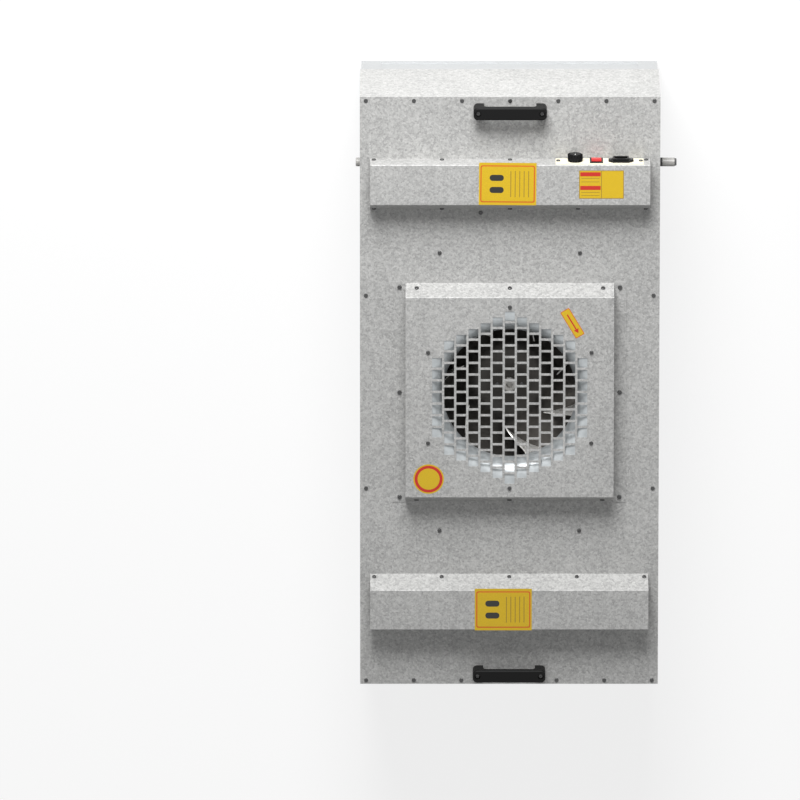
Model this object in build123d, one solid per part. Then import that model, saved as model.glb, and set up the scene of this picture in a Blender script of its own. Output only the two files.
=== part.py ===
"""Ceiling fan filter unit, 575 x 1175 x 320 mm: a casing of coated sheet steel on a framed HEPA filter.

Frame: millimetres, +Z up. Air goes in at the top and leaves at the bottom. The origin is the centre of
the outlet face. X runs across the unit and Y runs along it, with the control box at the +Y end.
"""

from math import atan2, cos, radians, sin, sqrt
import os

from build123d import *

# ---- overall --------------------------------------------------------------------------------------------
WIDTH = 575.0
LENGTH = 1175.0
SHEET = 1.2
BEND_RADIUS = 2.0

# ---- filter ---------------------------------------------------------------------------------------------
FILTER_INSET = 2.5
RAIL_HEIGHT = 66.0
RAIL_DEPTH = 26.0
RAIL_WALL = 1.8
RAIL_RIM_HEIGHT = 10.0
RAIL_RECESS = 2.5
CORNER_ANGLE_LEG = 38.0
GUARD_SHEET = 1.0
PLEAT_PITCH = 14.0
PLEAT_WALL = 9.0
GASKET_THICKNESS = 4.0
GASKET_WIDTH = 16.0
GASKET_INSET = 2.0

# ---- casing ---------------------------------------------------------------------------------------------
CASING_HEIGHT = 205.0
TOP_FLANGE = 20.0
BOTTOM_FLANGE = 28.0
FOAM_THICKNESS = 12.0
FOAM_POCKET_GAP = 1.0
RIVET_STEM = 3.0
RIVET_TAIL = 4.5
INTAKE_OPENING = 390.0
EDGE_RIVET_INSET_Y = 7.5
EDGE_RIVET_INSET_X = 11.5
EDGE_RIVET_COLUMNS = 7
SIDE_RIVET_Y = 193.0
EARTH_SCREW_X = -56.0
EARTH_SCREW_GAP = 7.0

# ---- the two boxes across the top panel -----------------------------------------------------------------
BOX_SIDE_GAP = 19.5
BOX_HEIGHT = 45.0
BOX_FACE = 80.0
BOX_SLOPE = 20.0
BOX_END_GAP = 122.5
BOX_SCREW_LEVEL = 9.0
BOX_SCREW_END_GAP = 7.5
BRACKET_RISE = 16.0
BRACKET_LEG = 15.0
BRACKET_END_GAP = 6.0
BRACKET_NOTCH_GAP = 4.0
BRACKET_NOTCH_DEPTH = 10.0

# ---- intake cover ---------------------------------------------------------------------------------------
COVER_FACE = 400.0
COVER_HEIGHT = 40.0
COVER_SLOPE = 18.0
COVER_FLANGE = 24.0
COVER_FLANGE_LENGTH = 440.0
COVER_FLANGE_SCREW_X = 211.5
COVER_FLANGE_SCREW_Y = 210.0
COVER_WALL_SCREW_X = 179.0
COVER_SCREW_LEVEL = 15.0
COVER_BRACKET_LENGTH = 390.0
GRILLE_PITCH = 23.25
GRILLE_HOLE = 19.0
GRILLE_MIDDLE_COLUMN = 15
GRILLE_SIDE_COLUMNS = 5
GRILLE_LAST_COLUMN = 7

# ---- inlet ring and fan ---------------------------------------------------------------------------------
RING_SCREWS = 6
RING_SCREW_RADIUS = 181.0
RING_FLANGE_RADIUS = 190.0
RING_THROAT_RADIUS = 128.0
RING_CURVE = 35.0
RING_LIP = 4.0
RING_SHEET = 1.2
RUNNING_GAP = 3.0
RING_OVERLAP = 6.0
IMPELLER_RADIUS = 190.0
SHROUD_SHEET = 1.5
SHROUD_NECK = 9.0
SHROUD_CURVE = 30.0
SHROUD_TURN = 70.0
BACK_PLATE_LEVEL = 98.0
BACK_PLATE_SHEET = 2.0
DOME_TOP_RADIUS = 34.0
DOME_FOOT_RADIUS = 150.0
DOME_RISE = 50.0
BLADES = 7
BLADE_SHEET = 2.0
BLADE_OUTER_RADIUS = 188.5
BLADE_CURVE = 120.0
BLADE_CENTRE_RADIUS = 96.0
BLADE_START_ANGLE = -17.0
BLADE_TOP_ANGLE = 25.0
BLADE_KNEE_INSET = 2.0
BLADE_KNEE_LEVEL = 52.0
WELD_GAP = 0.1

# ---- motor and its support ------------------------------------------------------------------------------
HANGER_X = 134.5
HANGER_SCREW_Y = 278.0
HANGER_WIDTH = 30.0
HANGER_SHEET = 2.0
HANGER_TAB = 28.0
HANGER_LEVEL = 66.0
BAFFLE_WIDTH = 330.0
BAFFLE_LENGTH = 360.0
BAFFLE_SHEET = 2.0
BAFFLE_SCREW_Y = 150.0
STATOR_BASE_RADIUS = 52.0
STATOR_BASE_HEIGHT = 8.0
STATOR_COIL_RADIUS = 54.0
STATOR_STACK_HEIGHT = 24.0
STATOR_STACK_LEVEL = 26.0
STATOR_TUBE_RADIUS = 14.0
STATOR_HEIGHT = 58.0
COIL_END_HEIGHT = 9.0
COIL_END_STEP = 2.0
AIR_GAP = 0.6
SHAFT_RADIUS = 6.0
BEARING_FIT = 0.05
ROTOR_RADIUS = 66.0
ROTOR_WALL = 5.0
ROTOR_HEIGHT = 54.0
ROTOR_BEVEL = 4.0
SHAFT_END_GAP = 4.0
BORE_END_GAP = 2.0
BOSS_RADIUS = 30.0
BOSS_HEIGHT = 14.0
NECK_RADIUS = 14.0
NECK_RISE = 6.0
NECK_BEVEL = 2.0
NECK_BORE_RADIUS = 6.5
NECK_BORE_DEPTH = 9.0
NECK_FIT = 0.1
ROTOR_SCREWS = 6
ROTOR_SCREW_RADIUS = 23.5

# ---- handles --------------------------------------------------------------------------------------------
HANDLE_END_GAP = 25.0
HANDLE_LENGTH = 140.0
HANDLE_WIDTH = 25.0
HANDLE_HEIGHT = 35.0
HANDLE_LEG = 20.0
HANDLE_BAR = 11.0
HANDLE_SCREW_X = 61.0
HANDLE_CORNER = 7.0
HANDLE_PLAN_CORNER = 8.0
HANDLE_EDGE = 3.5
HANDLE_SHANK_TAIL = 2.0
HANDLE_COUNTERBORE = 7.0
HANDLE_COUNTERBORE_RADIUS = 5.5
HANDLE_BORE_RADIUS = 2.7
HANDLE_SHANK_RADIUS = 2.5
HANDLE_HEAD_RADIUS = 4.6
HANDLE_HEAD_HEIGHT = 3.0
HANDLE_NUT_RADIUS = 4.6
HANDLE_NUT_HEIGHT = 4.0

# ---- control plate and what it carries ------------------------------------------------------------------
PLATE_X = 171.0
PLATE_LENGTH = 168.0
PLATE_HEIGHT = 38.0
PLATE_SHEET = 2.0
PLATE_LEVEL = 23.0
PLATE_SCREW_REACH = 79.0
KNOB_X = 124.5
KNOB_RADIUS = 14.0
KNOB_TOP_RADIUS = 11.5
KNOB_HEIGHT = 14.0
KNOB_SKIRT = 2.5
KNOB_EDGE = 1.5
KNOB_ROOF_GAP = 1.0
KNOB_BUSH_GAP = 1.5
KNOB_GROOVE_WIDTH = 1.6
KNOB_GROOVE_DEPTH = 0.8
KNOB_GAP = 0.5
KNOB_SPINDLE_RADIUS = 3.0
KNOB_SPINDLE_REACH = 8.0
SPINDLE_END_GAP = 1.0
BUSH_RADIUS = 4.5
BUSH_HEIGHT = 3.0
CONTROLLER_RADIUS = 12.0
CONTROLLER_DEPTH = 20.0
SWITCH_X = 165.0
SWITCH_WIDTH = 25.0
SWITCH_HEIGHT = 31.0
SWITCH_RIM = 2.5
SWITCH_BODY_INSET = 1.5
SWITCH_DEPTH = 22.0
ROCKER_WIDTH = 19.0
ROCKER_HEIGHT = 24.0
ROCKER_CREST = 7.0
ROCKER_VALLEY = 5.0
ROCKER_TILT = 8.0
ROCKER_WAIST = 3.0
ROCKER_KEEL = 4.0
ROCKER_PIT_DEPTH = 7.0
ROCKER_GAP = 0.2
ROCKER_END_GAP = 1.1
PIVOT_RADIUS = 1.5
PIVOT_REACH = 0.8
SOCKET_X = 212.0
SOCKET_FLANGE_LENGTH = 48.0
SOCKET_FLANGE_HEIGHT = 28.0
SOCKET_FLANGE_END = 10.0
SOCKET_FLANGE_SHEET = 3.0
SOCKET_BODY_LENGTH = 30.0
SOCKET_BODY_HEIGHT = 22.0
SOCKET_PROUD = 7.0
SOCKET_DEPTH = 22.0
SOCKET_MOUTH_LENGTH = 24.6
SOCKET_MOUTH_HEIGHT = 16.6
SOCKET_MOUTH_DEPTH = 16.0
SOCKET_MOUTH_CORNER = 5.0
SOCKET_SCREW_REACH = 20.0
PIN_WIDTH = 2.0
PIN_HEIGHT = 4.0
PIN_LENGTH = 12.0
PIN_SPREAD = 7.0
PIN_OFFSET = 2.0
CUTOUT_GAP = 0.1

# ---- side fittings and wiring ---------------------------------------------------------------------------
FITTING_BOX_GAP = 20.0
FITTING_DROP = 50.0
FITTING_RADIUS = 8.5
THREAD_RADIUS = 6.0
THREAD_TAIL = 10.0
LOCKNUT_RADIUS = 9.5
LOCKNUT_HEIGHT = 5.0
GLAND_BORE_RADIUS = 4.5
GLAND_COLLAR = 5.0
GLAND_BODY = 23.0
GLAND_CAP = 4.0
GLAND_CAP_STEP = 0.5
GLAND_CAP_TAPER = 2.0
PLUG_HEAD = 8.0
PLUG_BEVEL = 1.5
FOAM_PORT_RADIUS = 14.0
GROMMET_X = 30.0
GROMMET_BOX_GAP = 40.0
GROMMET_RADIUS = 8.0
GROMMET_RIM = 3.0
GROMMET_LIP = 2.0
TERMINAL_X = -80.0
TERMINAL_LENGTH = 60.0
TERMINAL_WIDTH = 22.0
TERMINAL_HEIGHT = 16.0
TERMINAL_WAYS = 5
TERMINAL_WELL_RADIUS = 3.6
TERMINAL_WELL_DEPTH = 6.0

# ---- fasteners ------------------------------------------------------------------------------------------
SCREW_RADIUS = 2.0
SCREW_HEAD_RADIUS = 4.0
SCREW_HEAD_HEIGHT = 2.4
SCREW_LENGTH = 8.0
SCREW_FIT = 0.1
RIVET_HEAD_HEIGHT = 1.6
SCREW_HEAD_EDGE = 0.4
SCREW_HEAD_CROWN = 0.6
HOLE_DEPTH = 12.0
THROUGH = 60.0

# ---- levels and faces worked out from them --------------------------------------------------------------
CASING_BOTTOM = RAIL_HEIGHT + GASKET_THICKNESS
PANEL_TOP = CASING_BOTTOM + CASING_HEIGHT
PANEL_UNDER = PANEL_TOP - SHEET
INNER_X = WIDTH / 2 - SHEET
INNER_Y = LENGTH / 2 - SHEET
FILTER_X = WIDTH / 2 - FILTER_INSET
FILTER_Y = LENGTH / 2 - FILTER_INSET
FOAM_BOTTOM = CASING_BOTTOM + SHEET
FOAM_TOP = PANEL_UNDER - SHEET - RIVET_TAIL
EDGE_RIVET_X = WIDTH / 2 - EDGE_RIVET_INSET_X
EDGE_RIVET_Y = LENGTH / 2 - EDGE_RIVET_INSET_Y
HANDLE_Y = LENGTH / 2 - HANDLE_END_GAP
BOX_TOP = PANEL_TOP + BOX_HEIGHT
BOX_LENGTH = WIDTH - 2 * BOX_SIDE_GAP
BOX_SCREW_PITCH = (BOX_LENGTH / 2 - BOX_SCREW_END_GAP) / 2
BOX_OUTER_Y = LENGTH / 2 - BOX_END_GAP
BOX_ROOT_Y = BOX_OUTER_Y - BOX_FACE - BOX_SLOPE
EARTH_SCREW_Y = BOX_ROOT_Y - EARTH_SCREW_GAP
FITTING_Y = BOX_OUTER_Y - FITTING_BOX_GAP
GROMMET_Y = BOX_OUTER_Y - GROMMET_BOX_GAP
COVER_TOP = PANEL_TOP + COVER_HEIGHT
COVER_UNDER = COVER_TOP - SHEET
COVER_ROOT_Y = COVER_FACE / 2 + COVER_SLOPE
RING_END = COVER_UNDER - RING_CURVE - RING_LIP
SHROUD_RADIUS = RING_THROAT_RADIUS + RING_SHEET + RUNNING_GAP
SHROUD_TOP = RING_END + RING_OVERLAP
BACK_PLATE_TOP = CASING_BOTTOM + BACK_PLATE_LEVEL + BACK_PLATE_SHEET
HANGER_UNDER = CASING_BOTTOM + HANGER_LEVEL
BAFFLE_UNDER = HANGER_UNDER + HANGER_SHEET
STATOR_UNDER = BAFFLE_UNDER + BAFFLE_SHEET
DOME_TOP = BACK_PLATE_TOP + DOME_RISE
DOME_UNDER = DOME_TOP - BACK_PLATE_SHEET
ROTOR_TOP = DOME_UNDER - BOSS_HEIGHT
ROTOR_BOTTOM = ROTOR_TOP - ROTOR_HEIGHT
PLATE_MIDDLE = PANEL_TOP + PLATE_LEVEL
FITTING_LEVEL = PANEL_TOP - FITTING_DROP


# ---- helpers --------------------------------------------------------------------------------------------
def slab(x0, x1, y0, y1, z0, z1):
    """A block between two corners."""
    return Pos((x0 + x1) / 2, (y0 + y1) / 2, (z0 + z1) / 2) * Box(x1 - x0, y1 - y0, z1 - z0)


def drum(radius, z0, z1, x=0.0, y=0.0):
    """An upright cylinder between two levels."""
    return Pos(x, y, (z0 + z1) / 2) * Cylinder(radius, z1 - z0)


def turned(points):
    """A body turned about Z from its half section, given as (radius, level) corners."""
    return revolve(make_face(Polyline(*[(r, 0, z) for r, z in points], close=True)), Axis.Z)


def prism_x(points, x0, x1):
    """A body of even section along X. The corners are (y, z)."""
    section = make_face(Polyline(*[(x0, y, z) for y, z in points], close=True))
    return extrude(section, x1 - x0, dir=(1, 0, 0))


def prism_y(points, y0, y1):
    """A body of even section along Y. The corners are (x, z)."""
    section = make_face(Polyline(*[(x, y0, z) for x, z in points], close=True))
    return extrude(section, y1 - y0, dir=(0, 1, 0))


def prism_z(points, z0, z1):
    """A body of even plan. The corners are (x, y)."""
    section = make_face(Polyline(*[(x, y, z0) for x, y in points], close=True))
    return extrude(section, z1 - z0, dir=(0, 0, 1))


def facing(x, y, z, out, along=(1, 0, 0)):
    """A place on a surface: its local z points out of the surface."""
    return Plane(origin=(x, y, z), x_dir=along, z_dir=out).location


def folded(block):
    """Round the two long top edges of a block, as a brake press leaves them."""
    return fillet(block.edges().filter_by(Axis.X).group_by(Axis.Z)[-1], BEND_RADIUS)


def cut_all(shape, tools):
    """Take many tools away from a shape in one operation."""
    return shape - tools if tools else shape


def write(name, *shapes):
    """One node: every solid of the shapes in one STEP file."""
    solids = [solid for shape in shapes for solid in shape.solids()]
    body = Compound(children=solids) if len(solids) > 1 else solids[0]
    export_step(body, f"parts/{name}.step")


# ---- fasteners ------------------------------------------------------------------------------------------
def screw(place, length=SCREW_LENGTH, radius=SCREW_RADIUS, head=SCREW_HEAD_RADIUS, rise=SCREW_HEAD_HEIGHT):
    """A screw that is seated at a place, with its head outside."""
    half = [(0, -length), (radius, -length), (radius, 0), (head, 0), (head, rise * SCREW_HEAD_EDGE)]
    half += [(head * SCREW_HEAD_CROWN, rise), (0, rise)]
    return place * turned(half)


def screw_holes(places, depth=HOLE_DEPTH, radius=SCREW_RADIUS):
    """The clearance holes for screws seated at these places."""
    return [place * Cylinder(radius + SCREW_FIT, depth) for place in places]


def rivet_places():
    step = 2 * EDGE_RIVET_X / (EDGE_RIVET_COLUMNS - 1)
    row = [-EDGE_RIVET_X + step * i for i in range(EDGE_RIVET_COLUMNS)]
    ends = [Pos(x, side * EDGE_RIVET_Y, PANEL_TOP) for side in (1, -1) for x in row]
    sides = [Pos(i * EDGE_RIVET_X, j * SIDE_RIVET_Y, PANEL_TOP) for i in (1, -1) for j in (1, -1)]
    return ends + sides


def hanger_screw_places():
    return [Pos(i * HANGER_X, j * HANGER_SCREW_Y, PANEL_TOP) for i in (1, -1) for j in (1, -1)]


def cover_flange_places():
    level = PANEL_TOP + SHEET
    rows = (-COVER_FLANGE_SCREW_Y, 0.0, COVER_FLANGE_SCREW_Y)
    return [Pos(i * COVER_FLANGE_SCREW_X, y, level) for i in (1, -1) for y in rows]


def cover_wall_places():
    y = COVER_ROOT_Y - COVER_SLOPE * COVER_SCREW_LEVEL / COVER_HEIGHT
    columns = (-COVER_WALL_SCREW_X, 0.0, COVER_WALL_SCREW_X)
    return [
        facing(x, side * y, PANEL_TOP + COVER_SCREW_LEVEL, (0, side * COVER_HEIGHT, COVER_SLOPE))
        for side in (1, -1)
        for x in columns
    ]


def ring_screw_places():
    angles = [radians(360 / RING_SCREWS * i) for i in range(RING_SCREWS)]
    return [Pos(RING_SCREW_RADIUS * sin(a), RING_SCREW_RADIUS * cos(a), COVER_TOP) for a in angles]


def box_screw_places(side, skipped):
    """Five screws low on each long wall of a box, less the one behind the control plate."""
    level = PANEL_TOP + BOX_SCREW_LEVEL
    inner_y = BOX_ROOT_Y + BOX_SLOPE * BOX_SCREW_LEVEL / BOX_HEIGHT
    steps = range(-2, 3)
    outer_steps = [i for i in steps if i != skipped]
    outer = [facing(i * BOX_SCREW_PITCH, side * BOX_OUTER_Y, level, (0, side, 0)) for i in outer_steps]
    lean = (0, -side * BOX_HEIGHT, BOX_SLOPE)
    inner = [facing(i * BOX_SCREW_PITCH, side * inner_y, level, lean) for i in steps]
    return outer, inner


def control_place(x, out=0.0):
    """On the outer wall of the control box, with x towards the left side and y up."""
    return facing(x, BOX_OUTER_Y + out, PLATE_MIDDLE, (0, 1, 0), (-1, 0, 0))


def plate_screw_places():
    return [control_place(PLATE_X + i * PLATE_SCREW_REACH, PLATE_SHEET) for i in (1, -1)]


def socket_screw_places():
    proud = PLATE_SHEET + SOCKET_FLANGE_SHEET
    return [control_place(SOCKET_X + i * SOCKET_SCREW_REACH, proud) for i in (1, -1)]


def handle_places(side):
    level = PANEL_TOP + HANDLE_HEIGHT - HANDLE_COUNTERBORE
    return [Pos(i * HANDLE_SCREW_X, side * HANDLE_Y, level) for i in (1, -1)]


# ---- filter ---------------------------------------------------------------------------------------------
def filter_rail(half_run, half_across):
    """A mitred channel rail that runs along Y, with its back at x = half_across."""
    back = half_across
    web = back - RAIL_RECESS
    pocket = web - RAIL_WALL
    mouth = back - RAIL_DEPTH
    top = RAIL_HEIGHT
    section = [
        (back, 0), (back, RAIL_RIM_HEIGHT), (web, RAIL_RIM_HEIGHT), (web, top - RAIL_RIM_HEIGHT),
        (back, top - RAIL_RIM_HEIGHT), (back, top), (mouth, top), (mouth, top - RAIL_WALL),
        (pocket, top - RAIL_WALL), (pocket, RAIL_WALL), (mouth, RAIL_WALL), (mouth, 0),
    ]
    plan = [
        (back, -half_run), (back, half_run),
        (mouth, half_run - RAIL_DEPTH), (mouth, RAIL_DEPTH - half_run),
    ]
    return prism_y(section, -half_run, half_run) & prism_z(plan, 0, top)


def filter_corner_angles():
    """Angles set in the recess of the rails. They tie the four corners."""
    low = RAIL_RIM_HEIGHT
    high = RAIL_HEIGHT - RAIL_RIM_HEIGHT
    deep = RAIL_RECESS
    leg = CORNER_ANGLE_LEG
    angles = []
    for i in (1, -1):
        for j in (1, -1):
            plan = [(0, 0), (-leg, 0), (-leg, -deep), (-deep, -deep), (-deep, -leg), (0, -leg)]
            corner = [(i * (FILTER_X + x), j * (FILTER_Y + y)) for x, y in plan]
            angles.append(prism_z(corner, low, high))
    return angles


def filter_media_pack():
    """One pleated sheet that fills the channel of the rails."""
    pocket = RAIL_RECESS + RAIL_WALL
    half_x = FILTER_X - pocket
    half_y = FILTER_Y - pocket
    low = RAIL_WALL + GUARD_SHEET
    high = RAIL_HEIGHT - low
    folds = round(2 * half_y / PLEAT_PITCH)
    pitch = 2 * half_y / folds
    upper = []
    lower = []
    for i in range(folds):
        y = -half_y + pitch * i
        upper += [(y, low + PLEAT_WALL), (y + pitch / 2, high)]
        lower += [(y, low), (y + pitch / 2, high - PLEAT_WALL)]
    upper.append((half_y, low + PLEAT_WALL))
    lower.append((half_y, low))
    return prism_x(upper + lower[::-1], -half_x, half_x)


def filter_guard(low):
    pocket = RAIL_RECESS + RAIL_WALL
    half_x = FILTER_X - pocket
    half_y = FILTER_Y - pocket
    return slab(-half_x, half_x, -half_y, half_y, low, low + GUARD_SHEET)


def filter_gasket():
    x = FILTER_X - GASKET_INSET
    y = FILTER_Y - GASKET_INSET
    inner_x = x - GASKET_WIDTH
    inner_y = y - GASKET_WIDTH
    band = slab(-x, x, -y, y, RAIL_HEIGHT, CASING_BOTTOM)
    return band - slab(-inner_x, inner_x, -inner_y, inner_y, RAIL_HEIGHT - 1, CASING_BOTTOM + 1)


def build_filter():
    side = filter_rail(FILTER_Y, FILTER_X)
    end = Rot(0, 0, 90) * filter_rail(FILTER_X, FILTER_Y)
    write("filter_rail_right", side)
    write("filter_rail_left", Rot(0, 0, 180) * side)
    write("filter_rail_control_end", end)
    write("filter_rail_plain_end", Rot(0, 0, 180) * end)
    write("filter_corner_angles", *filter_corner_angles())
    write("filter_media_pack", filter_media_pack())
    write("filter_outlet_guard", filter_guard(RAIL_WALL))
    write("filter_inlet_guard", filter_guard(RAIL_HEIGHT - RAIL_WALL - GUARD_SHEET))
    write("filter_gasket", filter_gasket())


# ---- casing ---------------------------------------------------------------------------------------------
def side_wall():
    """The right wall: a web with a flange folded in at the top and at the bottom."""
    low, high = CASING_BOTTOM, PANEL_UNDER
    web = slab(INNER_X, WIDTH / 2, -LENGTH / 2, LENGTH / 2, low, high)
    top = slab(WIDTH / 2 - TOP_FLANGE, INNER_X, -INNER_Y, INNER_Y, high - SHEET, high)
    bottom = slab(WIDTH / 2 - BOTTOM_FLANGE, INNER_X, -INNER_Y, INNER_Y, low, low + SHEET)
    port = facing(WIDTH / 2, FITTING_Y, FITTING_LEVEL, (1, 0, 0), (0, 1, 0))
    port_hole = port * Cylinder(THREAD_RADIUS + SCREW_FIT, HOLE_DEPTH)
    return web + top + bottom - port_hole - screw_holes(rivet_places())


def end_wall():
    """The wall at the control end, fitted between the side walls."""
    low, high = CASING_BOTTOM, PANEL_UNDER
    web = slab(-INNER_X, INNER_X, INNER_Y, LENGTH / 2, low, high)
    top_x = WIDTH / 2 - TOP_FLANGE
    bottom_x = WIDTH / 2 - BOTTOM_FLANGE
    top = slab(-top_x, top_x, LENGTH / 2 - TOP_FLANGE, INNER_Y, high - SHEET, high)
    bottom = slab(-bottom_x, bottom_x, LENGTH / 2 - BOTTOM_FLANGE, INNER_Y, low, low + SHEET)
    return web + top + bottom - screw_holes(rivet_places())


def top_panel():
    panel = slab(-WIDTH / 2, WIDTH / 2, -LENGTH / 2, LENGTH / 2, PANEL_UNDER, PANEL_TOP)
    tools = screw_holes(rivet_places() + hanger_screw_places() + cover_flange_places())
    tools += screw_holes([Pos(EARTH_SCREW_X, EARTH_SCREW_Y, PANEL_TOP)])
    for side in (1, -1):
        tools += screw_holes(handle_places(side), 2 * THROUGH, HANDLE_SHANK_RADIUS)
    tools.append(drum(INTAKE_OPENING / 2, PANEL_UNDER - 1, PANEL_TOP + 1))
    tools.append(drum(GROMMET_RADIUS, PANEL_UNDER - 1, PANEL_TOP + 1, GROMMET_X, GROMMET_Y))
    return cut_all(panel, tools)


def side_foam():
    block = slab(INNER_X - FOAM_THICKNESS, INNER_X, -INNER_Y, INNER_Y, FOAM_BOTTOM, FOAM_TOP)
    port = facing(WIDTH / 2, FITTING_Y, FITTING_LEVEL, (1, 0, 0), (0, 1, 0))
    return block - port * Cylinder(FOAM_PORT_RADIUS, THROUGH)


def end_foam():
    half = INNER_X - FOAM_THICKNESS
    return slab(-half, half, INNER_Y - FOAM_THICKNESS, INNER_Y, FOAM_BOTTOM, FOAM_TOP)


def top_foam():
    """The lining under the top panel, with a round opening and a pocket for each hanger tab."""
    half_x = WIDTH / 2 - TOP_FLANGE
    half_y = HANDLE_Y - HANDLE_WIDTH
    block = slab(-half_x, half_x, -half_y, half_y, PANEL_UNDER - FOAM_THICKNESS, PANEL_UNDER)
    low = PANEL_UNDER - 2 * FOAM_THICKNESS
    tools = [drum(INTAKE_OPENING / 2, low, PANEL_TOP)]
    tools.append(drum(GROMMET_RADIUS + GROMMET_RIM, low, PANEL_TOP, GROMMET_X, GROMMET_Y))
    tools += [place * Cylinder(SCREW_HEAD_RADIUS, THROUGH) for place in cover_flange_places()]
    tools.append(drum(SCREW_HEAD_RADIUS, low, PANEL_TOP, EARTH_SCREW_X, EARTH_SCREW_Y))
    wide = HANGER_WIDTH + 2 * FOAM_POCKET_GAP
    long = HANGER_TAB + 4 * FOAM_POCKET_GAP
    tools += [place * Box(wide, long, THROUGH) for place in hanger_screw_places()]
    return cut_all(block, tools)


def build_casing():
    right = side_wall()
    write("casing_side_right", right)
    write("casing_side_left", mirror(right, Plane.YZ))
    control_end = end_wall()
    write("casing_control_end", control_end)
    write("casing_plain_end", mirror(control_end, Plane.XZ))
    write("top_panel", top_panel())
    rivets = [screw(p, 2 * SHEET + RIVET_STEM, rise=RIVET_HEAD_HEIGHT) for p in rivet_places()]
    write("edge_rivets", *rivets)
    write("earth_screw", screw(Pos(EARTH_SCREW_X, EARTH_SCREW_Y, PANEL_TOP)))
    foam = side_foam()
    write("side_linings", foam, mirror(foam, Plane.YZ))
    end = end_foam()
    write("end_linings", end, mirror(end, Plane.XZ))
    write("top_lining", top_foam())


# ---- the two boxes on the panel -------------------------------------------------------------------------
def lean_bracket(foot, lean, out, x0, x1):
    """An angle on the panel behind a wall. The wall leans by lean per mm of rise, towards out."""
    slant = SHEET * sqrt(1 + lean * lean)
    base = [
        (0, 0), (lean * BRACKET_RISE, BRACKET_RISE), (lean * BRACKET_RISE + slant, BRACKET_RISE),
        (lean * SHEET + slant, SHEET), (BRACKET_LEG, SHEET), (BRACKET_LEG, 0),
    ]
    return prism_x([(foot + out * y, PANEL_TOP + z) for y, z in base], x0, x1)


def box_shell(skipped_step):
    """The box at the control end: a vertical outer wall, a leaning inner wall and two vertical ends."""
    half = BOX_LENGTH / 2
    lean = BOX_SLOPE / BOX_HEIGHT
    slant = SHEET * sqrt(1 + lean * lean)
    outer = [
        (BOX_ROOT_Y, PANEL_TOP), (BOX_ROOT_Y + BOX_SLOPE, BOX_TOP),
        (BOX_OUTER_Y, BOX_TOP), (BOX_OUTER_Y, PANEL_TOP),
    ]
    inner = [
        (BOX_ROOT_Y + slant - lean, PANEL_TOP - 1),
        (BOX_ROOT_Y + slant + lean * (BOX_HEIGHT - SHEET), BOX_TOP - SHEET),
        (BOX_OUTER_Y - SHEET, BOX_TOP - SHEET), (BOX_OUTER_Y - SHEET, PANEL_TOP - 1),
    ]
    shell = folded(prism_x(outer, -half, half)) - prism_x(inner, SHEET - half, half - SHEET)
    outer_places, inner_places = box_screw_places(1, skipped_step)
    return cut_all(shell, screw_holes(outer_places + inner_places))


def box_brackets(skipped_step):
    """Two angles on the panel that take the screws of a box."""
    lean = BOX_SLOPE / BOX_HEIGHT
    slant = SHEET * sqrt(1 + lean * lean)
    half = BOX_LENGTH / 2 - SHEET - BRACKET_END_GAP / 2
    outer_places, inner_places = box_screw_places(1, skipped_step)
    outer = lean_bracket(BOX_OUTER_Y - SHEET, 0, -1, -half, half)
    inner = lean_bracket(BOX_ROOT_Y + slant, lean, 1, -half, half)
    return outer, inner, screw_holes(outer_places), screw_holes(inner_places)


def controls_cutouts():
    """What the knob, the switch and the socket take out of the plate and of the wall behind it."""
    bush = control_place(KNOB_X) * Cylinder(BUSH_RADIUS + CUTOUT_GAP, THROUGH)
    switch_x = SWITCH_WIDTH - 2 * SWITCH_BODY_INSET + 2 * CUTOUT_GAP
    switch_y = SWITCH_HEIGHT - 2 * SWITCH_BODY_INSET + 2 * CUTOUT_GAP
    switch = control_place(SWITCH_X) * Box(switch_x, switch_y, THROUGH)
    socket_x = SOCKET_BODY_LENGTH + 2 * CUTOUT_GAP
    socket_y = SOCKET_BODY_HEIGHT + 2 * CUTOUT_GAP
    socket = control_place(SOCKET_X) * Box(socket_x, socket_y, THROUGH)
    screws = screw_holes(plate_screw_places() + socket_screw_places(), THROUGH)
    return [bush, switch, socket] + screws


def build_boxes():
    control_skip = 1
    shell = cut_all(box_shell(control_skip), controls_cutouts())
    write("control_box", shell)
    outer, inner, outer_holes, inner_holes = box_brackets(control_skip)
    clear = BRACKET_NOTCH_GAP
    knob_side = KNOB_X - CONTROLLER_RADIUS - clear
    socket_side = SOCKET_X + SOCKET_FLANGE_LENGTH / 2 + clear
    deep = BOX_OUTER_Y - BRACKET_NOTCH_DEPTH
    notch = slab(knob_side, socket_side, deep, BOX_OUTER_Y, PANEL_TOP + SHEET, BOX_TOP)
    write("control_box_brackets", outer - notch - outer_holes, inner - inner_holes)
    outer_places, inner_places = box_screw_places(1, control_skip)
    write("control_box_screws", *[screw(p) for p in outer_places + inner_places])

    write("stiffener_box", mirror(box_shell(None), Plane.XZ))
    outer, inner, outer_holes, inner_holes = box_brackets(None)
    write(
        "stiffener_brackets",
        mirror(outer - outer_holes, Plane.XZ),
        mirror(inner - inner_holes, Plane.XZ),
    )
    outer_places, inner_places = box_screw_places(-1, None)
    write("stiffener_screws", *[screw(p) for p in outer_places + inner_places])


# ---- controls -------------------------------------------------------------------------------------------
def rocker_body():
    """A shallow rocker about its pivot, tilted to one side."""
    half = ROCKER_HEIGHT / 2
    profile = [
        (-half, ROCKER_CREST), (0, ROCKER_VALLEY), (half, ROCKER_CREST), (half, ROCKER_WAIST),
        (half / 2, -ROCKER_KEEL), (-half / 2, -ROCKER_KEEL), (-half, ROCKER_WAIST),
    ]
    width = ROCKER_WIDTH / 2
    body = prism_x(profile, -width, width)
    pin = Rot(0, 90, 0) * Cylinder(PIVOT_RADIUS, 2 * (width + PIVOT_REACH))
    return control_place(SWITCH_X) * (Rot(ROCKER_TILT, 0, 0) * (body + pin))


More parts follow.
